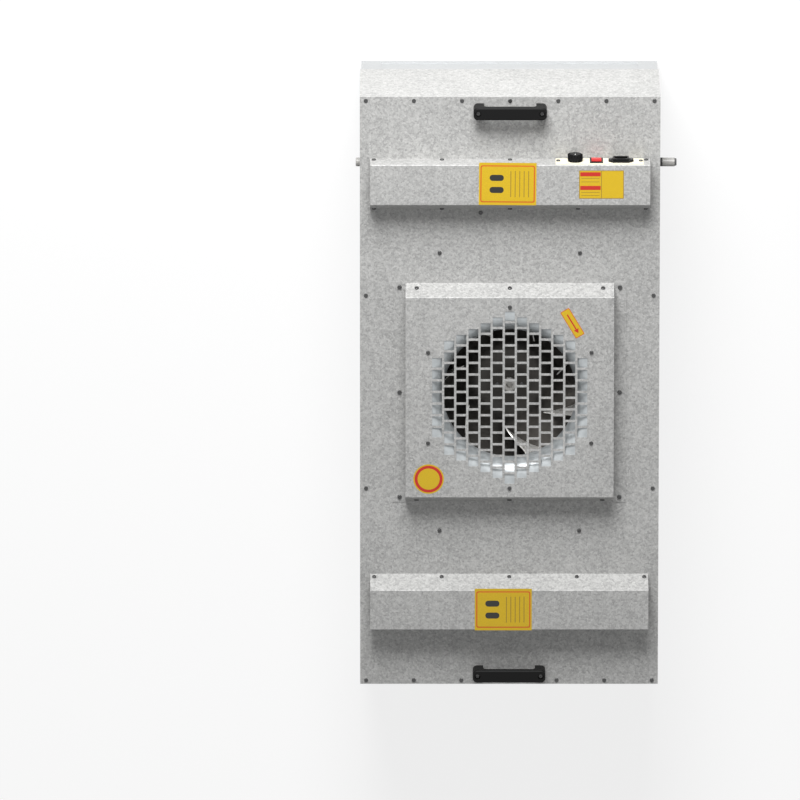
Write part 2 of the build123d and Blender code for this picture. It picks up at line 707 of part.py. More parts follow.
def rocker_bezel():
    x = SWITCH_WIDTH / 2
    y = SWITCH_HEIGHT / 2
    inset = SWITCH_BODY_INSET
    rim = slab(-x, x, -y, y, PLATE_SHEET, PLATE_SHEET + SWITCH_RIM)
    body = slab(inset - x, x - inset, inset - y, y - inset, -SWITCH_DEPTH, PLATE_SHEET)
    pit_x = ROCKER_WIDTH / 2 + ROCKER_GAP
    pit_y = ROCKER_HEIGHT / 2 + ROCKER_END_GAP
    pit = slab(-pit_x, pit_x, -pit_y, pit_y, -ROCKER_PIT_DEPTH, THROUGH)
    pivot_length = ROCKER_WIDTH + 2 * (PIVOT_REACH + BEARING_FIT)
    bearing = Rot(0, 90, 0) * Cylinder(PIVOT_RADIUS + BEARING_FIT, pivot_length)
    return control_place(SWITCH_X) * (rim + body - pit - bearing)


def socket_plan(length, height, end, z0, z1):
    """An outline that is tapered at both ends."""
    x, y, step = length / 2, height / 2, end / 2
    points = [(-x, -step), (-x + y - step, -y), (x - y + step, -y), (x, -step)]
    points += [(x, step), (x - y + step, y), (-x + y - step, y), (-x, step)]
    return prism_z(points, z0, z1)


def power_inlet():
    """An appliance inlet: a flange, a proud rim and a body behind, with a mouth cut at two corners."""
    proud = PLATE_SHEET + SOCKET_PROUD
    flange_top = PLATE_SHEET + SOCKET_FLANGE_SHEET
    size = SOCKET_FLANGE_LENGTH, SOCKET_FLANGE_HEIGHT, SOCKET_FLANGE_END
    flange = socket_plan(*size, PLATE_SHEET, flange_top)
    x = SOCKET_BODY_LENGTH / 2
    y = SOCKET_BODY_HEIGHT / 2
    body = slab(-x, x, -y, y, -SOCKET_DEPTH, proud)
    mx = SOCKET_MOUTH_LENGTH / 2
    my = SOCKET_MOUTH_HEIGHT / 2
    cut = SOCKET_MOUTH_CORNER
    mouth = [(-mx, -my), (mx, -my), (mx, my - cut), (mx - cut, my), (cut - mx, my), (-mx, my - cut)]
    cavity = prism_z(mouth, proud - SOCKET_MOUTH_DEPTH, proud + 1)
    holes = screw_holes([Pos(i * SOCKET_SCREW_REACH, 0, flange_top) for i in (1, -1)])
    return control_place(SOCKET_X) * cut_all(flange + body, [cavity] + holes)


def inlet_pins():
    foot = PLATE_SHEET + SOCKET_PROUD - SOCKET_MOUTH_DEPTH
    places = ((-PIN_SPREAD, -PIN_OFFSET), (0, PIN_OFFSET), (PIN_SPREAD, -PIN_OFFSET))
    pin = slab(-PIN_WIDTH / 2, PIN_WIDTH / 2, -PIN_HEIGHT / 2, PIN_HEIGHT / 2, foot, foot + PIN_LENGTH)
    return [control_place(SOCKET_X) * Pos(x, y, 0) * pin for x, y in places]


def speed_knob():
    low = PLATE_SHEET + KNOB_GAP
    top = PLATE_SHEET + KNOB_GAP + KNOB_HEIGHT
    roof = PLATE_SHEET + BUSH_HEIGHT + KNOB_ROOF_GAP
    spindle = KNOB_SPINDLE_RADIUS
    cavity = BUSH_RADIUS + KNOB_BUSH_GAP
    half = [
        (0, -KNOB_SPINDLE_REACH), (spindle, -KNOB_SPINDLE_REACH), (spindle, roof), (cavity, roof),
        (cavity, low), (KNOB_RADIUS, low), (KNOB_RADIUS, low + KNOB_SKIRT),
        (KNOB_TOP_RADIUS, top - KNOB_EDGE), (KNOB_TOP_RADIUS - KNOB_EDGE, top), (0, top),
    ]
    wide = KNOB_GROOVE_WIDTH / 2
    groove = slab(-wide, wide, KNOB_SPINDLE_RADIUS, KNOB_RADIUS, top - KNOB_GROOVE_DEPTH, top + 1)
    return control_place(KNOB_X) * (turned(half) - groove)


def speed_controller():
    bore = KNOB_SPINDLE_RADIUS + BEARING_FIT
    bore_floor = -KNOB_SPINDLE_REACH - SPINDLE_END_GAP
    half = [
        (0, -SHEET - CONTROLLER_DEPTH), (CONTROLLER_RADIUS, -SHEET - CONTROLLER_DEPTH),
        (CONTROLLER_RADIUS, -SHEET), (BUSH_RADIUS, -SHEET), (BUSH_RADIUS, PLATE_SHEET + BUSH_HEIGHT),
        (bore, PLATE_SHEET + BUSH_HEIGHT), (bore, bore_floor), (0, bore_floor),
    ]
    return control_place(KNOB_X) * turned(half)


def build_controls():
    half = PLATE_LENGTH / 2
    tall = PLATE_HEIGHT / 2
    plate = control_place(PLATE_X) * slab(-half, half, -tall, tall, 0, PLATE_SHEET)
    write("control_plate", cut_all(plate, controls_cutouts()))
    write("control_plate_screws", *[screw(p) for p in plate_screw_places() + socket_screw_places()])
    write("rocker_bezel", rocker_bezel())
    write("rocker", rocker_body())
    write("power_inlet", power_inlet())
    write("power_inlet_pins", *inlet_pins())
    write("speed_knob", speed_knob())
    write("speed_controller", speed_controller())
    long = TERMINAL_LENGTH / 2
    wide = TERMINAL_WIDTH / 2
    top = PANEL_TOP + TERMINAL_HEIGHT
    block = slab(TERMINAL_X - long, TERMINAL_X + long, GROMMET_Y - wide, GROMMET_Y + wide, PANEL_TOP, top)
    pitch = TERMINAL_LENGTH / TERMINAL_WAYS
    first = TERMINAL_X - pitch * (TERMINAL_WAYS - 1) / 2
    floor = top - TERMINAL_WELL_DEPTH
    columns = [first + pitch * i for i in range(TERMINAL_WAYS)]
    wells = [drum(TERMINAL_WELL_RADIUS, floor, top + 1, x, GROMMET_Y) for x in columns]
    write("terminal_block", cut_all(block, wells))
    inner = GROMMET_RADIUS - GROMMET_RIM
    rim = GROMMET_RADIUS + GROMMET_RIM
    ring = turned([
        (inner, PANEL_UNDER - GROMMET_LIP), (rim, PANEL_UNDER - GROMMET_LIP), (rim, PANEL_UNDER),
        (GROMMET_RADIUS, PANEL_UNDER), (GROMMET_RADIUS, PANEL_TOP), (rim, PANEL_TOP),
        (rim, PANEL_TOP + GROMMET_LIP), (inner, PANEL_TOP + GROMMET_LIP),
    ])
    write("cable_grommet", Pos(GROMMET_X, GROMMET_Y, 0) * ring)


# ---- intake cover and inlet ring ------------------------------------------------------------------------
def grille_holes():
    """Square holes in columns. Each column is offset by half a pitch from its neighbours."""
    holes = []
    last = GRILLE_SIDE_COLUMNS + 1
    for column in range(-last, last + 1):
        away = abs(column)
        count = GRILLE_LAST_COLUMN if away == last else GRILLE_MIDDLE_COLUMN - away
        for row in range(count):
            x = column * GRILLE_PITCH
            y = (row - (count - 1) / 2) * GRILLE_PITCH
            holes.append(Pos(x, y, COVER_TOP) * Box(GRILLE_HOLE, GRILLE_HOLE, 6 * SHEET))
    return holes


def inlet_cover():
    half = COVER_FACE / 2
    lean = COVER_SLOPE / COVER_HEIGHT
    slant = SHEET * sqrt(1 + lean * lean)
    outer = [(-COVER_ROOT_Y, PANEL_TOP), (-half, COVER_TOP), (half, COVER_TOP), (COVER_ROOT_Y, PANEL_TOP)]
    foot = COVER_ROOT_Y - slant + lean
    crest = COVER_ROOT_Y - slant - lean * (COVER_HEIGHT - SHEET)
    inner = [(-foot, PANEL_TOP - 1), (-crest, COVER_UNDER), (crest, COVER_UNDER), (foot, PANEL_TOP - 1)]
    shell = folded(prism_x(outer, -half, half)) - prism_x(inner, SHEET - half, half - SHEET)
    reach = COVER_FLANGE_LENGTH / 2
    level = PANEL_TOP + SHEET
    shell += slab(half - SHEET / 2, half + COVER_FLANGE, -reach, reach, PANEL_TOP, level)
    shell += slab(-half - COVER_FLANGE, SHEET / 2 - half, -reach, reach, PANEL_TOP, level)
    screws = screw_holes(cover_flange_places() + cover_wall_places() + ring_screw_places())
    return cut_all(shell, grille_holes() + screws)


def inlet_ring():
    """The ring's mouth is a quarter round from its flange down to the throat."""
    flange = COVER_UNDER
    start = RING_THROAT_RADIUS + RING_CURVE
    level = flange - RING_CURVE
    turn = sqrt(0.5)
    inside = RING_CURVE
    behind = RING_CURVE - RING_SHEET
    air = ThreePointArc(
        (start, 0, flange),
        (start - inside * turn, 0, level + inside * turn),
        (RING_THROAT_RADIUS, 0, level),
    )
    back = ThreePointArc(
        (RING_THROAT_RADIUS + RING_SHEET, 0, level),
        (start - behind * turn, 0, level + behind * turn),
        (start, 0, flange - RING_SHEET),
    )
    edges = [
        Line((RING_FLANGE_RADIUS, 0, flange), (start, 0, flange)),
        air,
        Line((RING_THROAT_RADIUS, 0, level), (RING_THROAT_RADIUS, 0, RING_END)),
        Line((RING_THROAT_RADIUS, 0, RING_END), (RING_THROAT_RADIUS + RING_SHEET, 0, RING_END)),
        Line((RING_THROAT_RADIUS + RING_SHEET, 0, RING_END), (RING_THROAT_RADIUS + RING_SHEET, 0, level)),
        back,
        Line((start, 0, flange - RING_SHEET), (RING_FLANGE_RADIUS, 0, flange - RING_SHEET)),
        Line((RING_FLANGE_RADIUS, 0, flange - RING_SHEET), (RING_FLANGE_RADIUS, 0, flange)),
    ]
    ring = revolve(make_face(edges), Axis.Z)
    return cut_all(ring, screw_holes(ring_screw_places()))


def build_cover():
    write("inlet_cover", inlet_cover())
    write("inlet_ring", inlet_ring())
    half = COVER_BRACKET_LENGTH / 2
    lean = COVER_SLOPE / COVER_HEIGHT
    slant = SHEET * sqrt(1 + lean * lean)
    places = cover_wall_places()
    bracket = lean_bracket(COVER_ROOT_Y - slant, lean, -1, -half, half) - screw_holes(places[:3])
    write("cover_brackets", bracket, mirror(bracket, Plane.XZ))
    write("cover_screws", *[screw(p) for p in cover_flange_places() + places])
    write("ring_screws", *[screw(p) for p in ring_screw_places()])


# ---- fan ------------------------------------------------------------------------------------------------
def shroud_section(reach, gap):
    """The air side of the shroud, moved in by a gap: its arc's start and end, and its rim."""
    centre_r = SHROUD_RADIUS + SHROUD_CURVE
    centre_z = SHROUD_TOP - SHROUD_NECK
    radius = SHROUD_CURVE + gap
    turn = radians(SHROUD_TURN)
    end = (centre_r - radius * cos(turn), centre_z - radius * sin(turn))
    rim = (reach, end[1] - (reach - end[0]) / sin(turn) * cos(turn))
    return centre_r, centre_z, radius, end, rim


def arc_point(centre_r, centre_z, radius, angle):
    turn = radians(angle)
    return (centre_r - radius * cos(turn), 0, centre_z - radius * sin(turn))


def impeller_shroud():
    cr, cz, air_r, air_end, air_rim = shroud_section(IMPELLER_RADIUS, 0.0)
    cr, cz, back_r, back_end, back_rim = shroud_section(IMPELLER_RADIUS, -SHROUD_SHEET)
    half = SHROUD_TURN / 2
    turn = SHROUD_TURN
    air = ThreePointArc(*[arc_point(cr, cz, air_r, angle) for angle in (0, half, turn)])
    back = ThreePointArc(*[arc_point(cr, cz, back_r, angle) for angle in (turn, half, 0)])
    outer = SHROUD_RADIUS + SHROUD_SHEET
    edges = [
        Line((SHROUD_RADIUS, 0, SHROUD_TOP), (SHROUD_RADIUS, 0, cz)),
        air,
        Line((air_end[0], 0, air_end[1]), (air_rim[0], 0, air_rim[1])),
        Line((air_rim[0], 0, air_rim[1]), (back_rim[0], 0, back_rim[1])),
        Line((back_rim[0], 0, back_rim[1]), (back_end[0], 0, back_end[1])),
        back,
        Line((outer, 0, cz), (outer, 0, SHROUD_TOP)),
        Line((outer, 0, SHROUD_TOP), (SHROUD_RADIUS, 0, SHROUD_TOP)),
    ]
    return revolve(make_face(edges), Axis.Z)


def dome_curve(lift):
    """Five points on the flank of the back plate, raised by a lift along its normals.

    The flank is two equal tangent arcs. The points are its top, the middle of the upper arc, the joint, the
    middle of the lower arc, and its foot.
    """
    run = DOME_FOOT_RADIUS - DOME_TOP_RADIUS
    curve = (run * run + DOME_RISE * DOME_RISE) / (4 * DOME_RISE)
    step = atan2(run / 2, curve - DOME_RISE / 2) / 2
    over = curve + lift
    under = curve - lift
    high = DOME_TOP - curve
    low = BACK_PLATE_TOP + curve
    points = [(DOME_TOP_RADIUS + over * sin(step * i), 0, high + over * cos(step * i)) for i in (0, 1, 2)]
    points += [(DOME_FOOT_RADIUS - under * sin(step * i), 0, low - under * cos(step * i)) for i in (1, 0)]
    return points


def impeller_back_plate():
    """One spun sheet: a flat top for the rotor's boss, a curved flank and a flat rim under the blades."""
    top = dome_curve(0.0)
    under = dome_curve(-BACK_PLATE_SHEET)
    bore = NECK_RADIUS + NECK_FIT
    rim_top = (IMPELLER_RADIUS, 0, BACK_PLATE_TOP)
    rim_under = (IMPELLER_RADIUS, 0, BACK_PLATE_TOP - BACK_PLATE_SHEET)
    edges = [
        Line((bore, 0, DOME_TOP), top[0]),
        ThreePointArc(top[0], top[1], top[2]),
        ThreePointArc(top[2], top[3], top[4]),
        Line(top[4], rim_top),
        Line(rim_top, rim_under),
        Line(rim_under, under[4]),
        ThreePointArc(under[4], under[3], under[2]),
        ThreePointArc(under[2], under[1], under[0]),
        Line(under[0], (bore, 0, DOME_UNDER)),
        Line((bore, 0, DOME_UNDER), (bore, 0, DOME_TOP)),
    ]
    return cut_all(revolve(make_face(edges), Axis.Z), screw_holes(rotor_screw_places()))


def blade_space():
    """The room between the back plate and the shroud that the blades fill."""
    cr, cz, radius, end, rim = shroud_section(BLADE_OUTER_RADIUS, WELD_GAP)
    first = arc_point(cr, cz, radius, BLADE_TOP_ANGLE)
    middle = arc_point(cr, cz, radius, (BLADE_TOP_ANGLE + SHROUD_TURN) / 2)
    flank = dome_curve(WELD_GAP)
    outer = (BLADE_OUTER_RADIUS, 0, BACK_PLATE_TOP + WELD_GAP)
    knee = (RING_THROAT_RADIUS - BLADE_KNEE_INSET, 0, BACK_PLATE_TOP + BLADE_KNEE_LEVEL)
    edges = [
        ThreePointArc(flank[2], flank[3], flank[4]),
        Line(flank[4], outer),
        Line(outer, (rim[0], 0, rim[1])),
        Line((rim[0], 0, rim[1]), (end[0], 0, end[1])),
        ThreePointArc((end[0], 0, end[1]), middle, first),
        ThreePointArc(first, knee, flank[2]),
    ]
    return revolve(make_face(edges), Axis.Z)


def impeller_blades():
    """Backward-curved blades: one slice of a thin tube, set round the hub."""
    tube = drum(BLADE_CURVE, 0, COVER_TOP, BLADE_CENTRE_RADIUS)
    tube -= drum(BLADE_CURVE - BLADE_SHEET, -1, COVER_TOP + 1, BLADE_CENTRE_RADIUS)
    half = slab(-IMPELLER_RADIUS, IMPELLER_RADIUS, -IMPELLER_RADIUS, 0, 0, COVER_TOP)
    blade = blade_space() & tube & half
    return [Rot(0, 0, BLADE_START_ANGLE + 360 / BLADES * i) * blade for i in range(BLADES)]


def motor_rotor():
    """The outer rotor: a cup over the stator, its shaft, and a boss with a neck that centres the fan."""
    inner = ROTOR_RADIUS - ROTOR_WALL
    roof = ROTOR_TOP - ROTOR_WALL
    neck_top = DOME_TOP + NECK_RISE
    bore_floor = neck_top - NECK_BORE_DEPTH
    shaft_end = STATOR_UNDER + STATOR_BASE_HEIGHT + SHAFT_END_GAP
    half = [
        (0, shaft_end), (SHAFT_RADIUS, shaft_end), (SHAFT_RADIUS, roof), (inner, roof),
        (inner, ROTOR_BOTTOM), (ROTOR_RADIUS, ROTOR_BOTTOM), (ROTOR_RADIUS, ROTOR_TOP - ROTOR_BEVEL),
        (ROTOR_RADIUS - ROTOR_BEVEL, ROTOR_TOP), (BOSS_RADIUS, ROTOR_TOP), (BOSS_RADIUS, DOME_UNDER),
        (NECK_RADIUS, DOME_UNDER), (NECK_RADIUS, neck_top - NECK_BEVEL),
        (NECK_RADIUS - NECK_BEVEL, neck_top), (NECK_BORE_RADIUS, neck_top),
        (NECK_BORE_RADIUS, bore_floor), (0, bore_floor),
    ]
    return cut_all(turned(half), screw_holes(rotor_screw_places(), 2 * SCREW_LENGTH + 1))


def rotor_screw_places():
    angles = [radians(360 / ROTOR_SCREWS * i) for i in range(ROTOR_SCREWS)]
    return [Pos(ROTOR_SCREW_RADIUS * cos(a), ROTOR_SCREW_RADIUS * sin(a), DOME_TOP) for a in angles]


def motor_stator():
    """The fixed part: a base, a bearing tube, the laminated stack and the coils above and below it."""
    base = STATOR_UNDER
    base_top = base + STATOR_BASE_HEIGHT
    top = base + STATOR_HEIGHT
    stack = ROTOR_RADIUS - ROTOR_WALL - AIR_GAP
    low = base + STATOR_STACK_LEVEL
    high = low + STATOR_STACK_HEIGHT
    coil_low = low - COIL_END_HEIGHT
    coil_high = high + COIL_END_HEIGHT - COIL_END_STEP
    bore = SHAFT_RADIUS + BEARING_FIT
    floor = base_top + BORE_END_GAP
    half = [
        (0, base), (STATOR_BASE_RADIUS, base), (STATOR_BASE_RADIUS, base_top),
        (STATOR_TUBE_RADIUS, base_top), (STATOR_TUBE_RADIUS, coil_low), (STATOR_COIL_RADIUS, coil_low),
        (STATOR_COIL_RADIUS, low), (stack, low), (stack, high), (STATOR_COIL_RADIUS, high),
        (STATOR_COIL_RADIUS, coil_high), (STATOR_TUBE_RADIUS, coil_high), (STATOR_TUBE_RADIUS, top),
        (bore, top), (bore, floor), (0, floor),
    ]
    return turned(half)


def hanger():
    """The right hanger: a strap in the shape of a U, with a tab at each end under the top panel."""
    leg = HANGER_SCREW_Y - HANGER_TAB / 2
    tab = HANGER_SCREW_Y + HANGER_TAB / 2
    top, low, t = PANEL_UNDER, HANGER_UNDER, HANGER_SHEET
    points = [
        (-tab, top), (-leg, top), (-leg, low + t), (leg, low + t), (leg, top), (tab, top),
        (tab, top - t), (leg + t, top - t), (leg + t, low),
        (-leg - t, low), (-leg - t, top - t), (-tab, top - t),
    ]
    strap = prism_x(points, HANGER_X - HANGER_WIDTH / 2, HANGER_X + HANGER_WIDTH / 2)
    return cut_all(strap, screw_holes(hanger_screw_places() + baffle_screw_places()))


def baffle_screw_places():
    return [Pos(i * HANGER_X, j * BAFFLE_SCREW_Y, STATOR_UNDER) for i in (1, -1) for j in (1, -1)]


def build_fan():
    right = hanger()
    write("hanger_right", right)
    write("hanger_left", mirror(right, Plane.YZ))
    write("hanger_screws", *[screw(p) for p in hanger_screw_places()])
    half_x = BAFFLE_WIDTH / 2
    half_y = BAFFLE_LENGTH / 2
    baffle = slab(-half_x, half_x, -half_y, half_y, BAFFLE_UNDER, STATOR_UNDER)
    write("baffle_plate", cut_all(baffle, screw_holes(baffle_screw_places())))
    write("baffle_screws", *[screw(p) for p in baffle_screw_places()])
    write("motor_stator", motor_stator())
    write("motor_rotor", motor_rotor())
    write("impeller_back_plate", impeller_back_plate())
    write("impeller_blades", *impeller_blades())
    write("impeller_shroud", impeller_shroud())
    write("impeller_screws", *[screw(p) for p in rotor_screw_places()])


# ---- handles --------------------------------------------------------------------------------------------
def handle():
    """The handle at the control end: a bridge on two legs, bored for a screw through each leg."""
    x = HANDLE_LENGTH / 2
    y = HANDLE_WIDTH / 2
    top = PANEL_TOP + HANDLE_HEIGHT
    body = slab(-x, x, HANDLE_Y - y, HANDLE_Y + y, PANEL_TOP, top)
    body = fillet(body.edges().filter_by(Axis.Z), HANDLE_PLAN_CORNER)
    body = fillet(body.faces().sort_by(Axis.Z)[-1].edges(), HANDLE_EDGE)
    inner = x - HANDLE_LEG
    low = PANEL_TOP - HANDLE_CORNER
    gap = slab(-inner, inner, HANDLE_Y - y - 1, HANDLE_Y + y + 1, low, top - HANDLE_BAR)
    gap = fillet(gap.edges().filter_by(Axis.Y).group_by(Axis.Z)[-1], HANDLE_CORNER)
    tools = [gap]
    for place in handle_places(1):
        tools.append(place * Cylinder(HANDLE_BORE_RADIUS, 2 * THROUGH))
        tools.append(place * Pos(0, 0, THROUGH / 2) * Cylinder(HANDLE_COUNTERBORE_RADIUS, THROUGH))
    return cut_all(body, tools)


def build_handles():
    control = handle()
    write("handle_control_end", control)
    write("handle_plain_end", mirror(control, Plane.XZ))
    through = HANDLE_HEIGHT - HANDLE_COUNTERBORE + SHEET + HANDLE_NUT_HEIGHT + HANDLE_SHANK_TAIL
    places = handle_places(1) + handle_places(-1)
    bolts = [screw(p, through, HANDLE_SHANK_RADIUS, HANDLE_HEAD_RADIUS, HANDLE_HEAD_HEIGHT) for p in places]
    write("handle_screws", *bolts)
    low = PANEL_UNDER - HANDLE_NUT_HEIGHT
    nuts = []
    for i in (1, -1):
        for j in (1, -1):
            x, y = i * HANDLE_SCREW_X, j * HANDLE_Y
            nut = Pos(x, y, low) * extrude(RegularPolygon(HANDLE_NUT_RADIUS, 6), HANDLE_NUT_HEIGHT)
            nuts.append(nut - drum(HANDLE_SHANK_RADIUS, low - 1, PANEL_TOP, x, y))
    write("handle_nuts", *nuts)


# ---- side fittings --------------------------------------------------------------------------------------
def build_fittings():
    right = facing(WIDTH / 2, FITTING_Y, FITTING_LEVEL, (1, 0, 0), (0, 1, 0))
    left = facing(-WIDTH / 2, FITTING_Y, FITTING_LEVEL, (-1, 0, 0), (0, 1, 0))
    bore, thread, outer = GLAND_BORE_RADIUS, THREAD_RADIUS, FITTING_RADIUS
    far = GLAND_COLLAR + GLAND_BODY
    body = turned([
        (bore, -THREAD_TAIL), (thread, -THREAD_TAIL), (thread, GLAND_COLLAR),
        (outer, GLAND_COLLAR), (outer, far), (bore, far),
    ])
    collar = turned([(thread, 0), (outer, 0), (outer, GLAND_COLLAR), (thread, GLAND_COLLAR)])
    cap_top = far + GLAND_CAP
    cap = turned([
        (bore, far), (outer - GLAND_CAP_STEP, far), (outer - GLAND_CAP_TAPER, cap_top), (bore, cap_top),
    ])
    inside = -SHEET
    nut = turned([
        (thread, inside - LOCKNUT_HEIGHT), (LOCKNUT_RADIUS, inside - LOCKNUT_HEIGHT),
        (LOCKNUT_RADIUS, inside), (thread, inside),
    ])
    plug = turned([
        (0, -THREAD_TAIL), (thread, -THREAD_TAIL), (thread, 0), (outer, 0), (outer, PLUG_HEAD - PLUG_BEVEL),
        (outer - PLUG_BEVEL, PLUG_HEAD), (0, PLUG_HEAD),
    ])
    write("gland_body", right * body)
    write("gland_collar", right * collar)
    write("gland_cap", right * cap)
    write("blanking_plug", left * plug)
    write("locknuts", right * nut, left * nut)


if __name__ == "__main__":
    os.makedirs("parts", exist_ok=True)
    build_filter()
    build_casing()
    build_boxes()
    build_controls()
    build_cover()
    build_fan()
    build_handles()
    build_fittings()
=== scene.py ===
"""A ceiling fan filter unit: a casing of coated sheet steel with a fan behind a grille, on a framed filter.

Metres, +Z up. Air goes in at the top, and the control box is at the +Y end.
"""

from math import radians, sin, cos

import bmesh
import bpy
from mathutils import Matrix, Vector


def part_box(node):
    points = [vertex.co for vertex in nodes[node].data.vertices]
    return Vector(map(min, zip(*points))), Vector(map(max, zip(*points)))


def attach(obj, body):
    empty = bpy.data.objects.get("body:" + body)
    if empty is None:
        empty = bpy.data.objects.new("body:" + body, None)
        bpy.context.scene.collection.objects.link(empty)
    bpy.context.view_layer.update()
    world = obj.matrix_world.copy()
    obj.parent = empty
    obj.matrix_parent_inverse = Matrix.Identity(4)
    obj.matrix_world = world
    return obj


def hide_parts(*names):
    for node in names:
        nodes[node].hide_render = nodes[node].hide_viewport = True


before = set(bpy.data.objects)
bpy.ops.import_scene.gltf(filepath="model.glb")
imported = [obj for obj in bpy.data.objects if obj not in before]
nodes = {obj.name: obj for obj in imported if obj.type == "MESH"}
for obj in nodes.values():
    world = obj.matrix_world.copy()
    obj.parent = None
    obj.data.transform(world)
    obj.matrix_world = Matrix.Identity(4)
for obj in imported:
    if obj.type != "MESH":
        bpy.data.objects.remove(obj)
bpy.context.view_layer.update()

# ---- The view ---------------------------------------------------------------------------------------------
# The unit lies on its outlet. A long lens looks down on the intake side from a little beyond the control
# end, so that the walls that face that end show as thin bright strips.
VIEW_TILT = radians(16.3)
VIEW_DISTANCE = 30.0
VIEW_WIDTH = 1.538
SENSOR = 36.0
PANEL_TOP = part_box("top_panel")[1].z
VIEW_AIM = Vector((-0.2106, -0.016, PANEL_TOP))

view_back = Vector((0, sin(VIEW_TILT), cos(VIEW_TILT)))
view_up = Vector((0, cos(VIEW_TILT), -sin(VIEW_TILT)))
bpy.ops.object.camera_add(location=VIEW_AIM + view_back * VIEW_DISTANCE)
camera = bpy.context.object
camera.data.sensor_width = SENSOR
camera.data.lens = SENSOR * VIEW_DISTANCE / VIEW_WIDTH
camera.data.clip_end = 3 * VIEW_DISTANCE
axes = Matrix((Vector((1, 0, 0)), view_up, view_back)).transposed()
camera.rotation_mode = "QUATERNION"
camera.rotation_quaternion = axes.to_quaternion()
bpy.context.scene.camera = camera
bpy.context.scene.view_settings.view_transform = "Standard"

# ---- The floor and the light ------------------------------------------------------------------------------
# A wide white floor. One large soft lamp stands beyond the control end and low, so the walls that face it
# are bright and those that face away are dark. The room gives a weak even light.
FLOOR_SIZE = 24.0
FLOOR_GAP = 0.0004
FLOOR_WHITE = 0.86
FLOOR_SHINE_THROUGH = 0.8
KEY_PLACE = Vector((-0.3, 3.4, 2.35))
KEY_AIM = Vector((0, 0.1, 0.25))
KEY_SIZE = 2.2
KEY_POWER = 265.0
ROOM_LIGHT = 0.25


def new_material(name):
    """A material with its shader."""
    material = bpy.data.materials.new(name)
    material.use_nodes = True
    return material, material.node_tree.nodes["Principled BSDF"]


def add_node(owner, kind, **values):
    """A node with its plain settings and its unlinked inputs."""
    made = owner.node_tree.nodes.new(kind)
    for key, value in values.items():
        if hasattr(made, key):
            setattr(made, key, value)
        else:
            made.inputs[key.replace("_", " ")].default_value = value
    return made


def link(owner, start, end):
    owner.node_tree.links.new(start, end)


def seen_directly(owner):
    """1 for rays from the camera, from a gloss or through glass, and 0 for the others."""
    rays = add_node(owner, "ShaderNodeLightPath")
    total = rays.outputs["Is Camera Ray"]
    for name in ("Is Glossy Ray", "Is Transmission Ray"):
        either = add_node(owner, "ShaderNodeMath", operation="MAXIMUM")
        link(owner, total, either.inputs[0])
        link(owner, rays.outputs[name], either.inputs[1])
        total = either.outputs[0]
    return total


bpy.ops.object.select_all(action="DESELECT")
bpy.ops.mesh.primitive_plane_add(size=FLOOR_SIZE, location=(0, 0, -FLOOR_GAP))
floor = bpy.context.object
floor.name = "floor"
floor_paint, floor_shader = new_material("floor_paint")
floor_shader.inputs["Base Color"].default_value = (FLOOR_WHITE, FLOOR_WHITE, FLOOR_WHITE, 1)
floor_shader.inputs["Roughness"].default_value = 0.9
glow = add_node(floor_paint, "ShaderNodeEmission", Strength=1.0)
glow.inputs["Color"].default_value = (1, 1, 1, 1)
scaled = add_node(floor_paint, "ShaderNodeMath", operation="MULTIPLY")
scaled.inputs[1].default_value = FLOOR_SHINE_THROUGH
link(floor_paint, seen_directly(floor_paint), scaled.inputs[0])
blend = add_node(floor_paint, "ShaderNodeMixShader")
link(floor_paint, scaled.outputs[0], blend.inputs["Fac"])
link(floor_paint, floor_shader.outputs[0], blend.inputs[1])
link(floor_paint, glow.outputs[0], blend.inputs[2])
link(floor_paint, blend.outputs[0], floor_paint.node_tree.nodes["Material Output"].inputs["Surface"])
floor.data.materials.append(floor_paint)

bpy.ops.object.light_add(type="AREA", location=KEY_PLACE)
key_lamp = bpy.context.object
key_lamp.data.shape = "DISK"
key_lamp.data.size = KEY_SIZE
key_lamp.data.energy = KEY_POWER
key_lamp.rotation_mode = "QUATERNION"
key_lamp.rotation_quaternion = (KEY_AIM - KEY_PLACE).to_track_quat("-Z", "Y")

world = bpy.data.worlds.new("room")
bpy.context.scene.world = world
world.use_nodes = True
room_sky = world.node_tree.nodes["Background"]
room_sky.inputs["Color"].default_value = (0.98, 0.99, 1.0, 1)
room_sky.inputs["Strength"].default_value = ROOM_LIGHT
white_sky = add_node(world, "ShaderNodeBackground", Strength=1.0)
white_sky.inputs["Color"].default_value = (1, 1, 1, 1)
world_mix = add_node(world, "ShaderNodeMixShader")
link(world, seen_directly(world), world_mix.inputs["Fac"])
link(world, room_sky.outputs[0], world_mix.inputs[1])
link(world, white_sky.outputs[0], world_mix.inputs[2])
link(world, world_mix.outputs[0], world.node_tree.nodes["World Output"].inputs["Surface"])

# ---- Casing, boxes and cover ------------------------------------------------------------------------------
# Sheet steel with a coat of aluminium and zinc, folded and riveted. The coat is left bare: it has a fine
# bright spangle, faint streaks along the roll and a few cloudy patches from handling.
SPANGLE_PER_METRE = 250.0
SPANGLE_DARK = (0.265, 0.265, 0.26, 1)
SPANGLE_LIGHT = (0.49, 0.488, 0.478, 1)
CASING_NODES = [
    "top_panel", "casing_side_left", "casing_side_right", "casing_control_end", "casing_plain_end",
    "control_box", "stiffener_box", "inlet_cover",
]


def paint(material, *names):
    """Gives a material to CAD nodes."""
    for name in names:
        mesh = nodes[name].data
        mesh.materials.clear()
        mesh.materials.append(material)


def ramp(owner, source, stops):
    """A colour ramp on a value: stops are (place, colour)."""
    made = add_node(owner, "ShaderNodeValToRGB")
    elements = made.color_ramp.elements
    elements[0].position, elements[0].color = stops[0]
    elements[1].position, elements[1].color = stops[-1]
    link(owner, source, made.inputs["Fac"])
    return made.outputs["Color"]


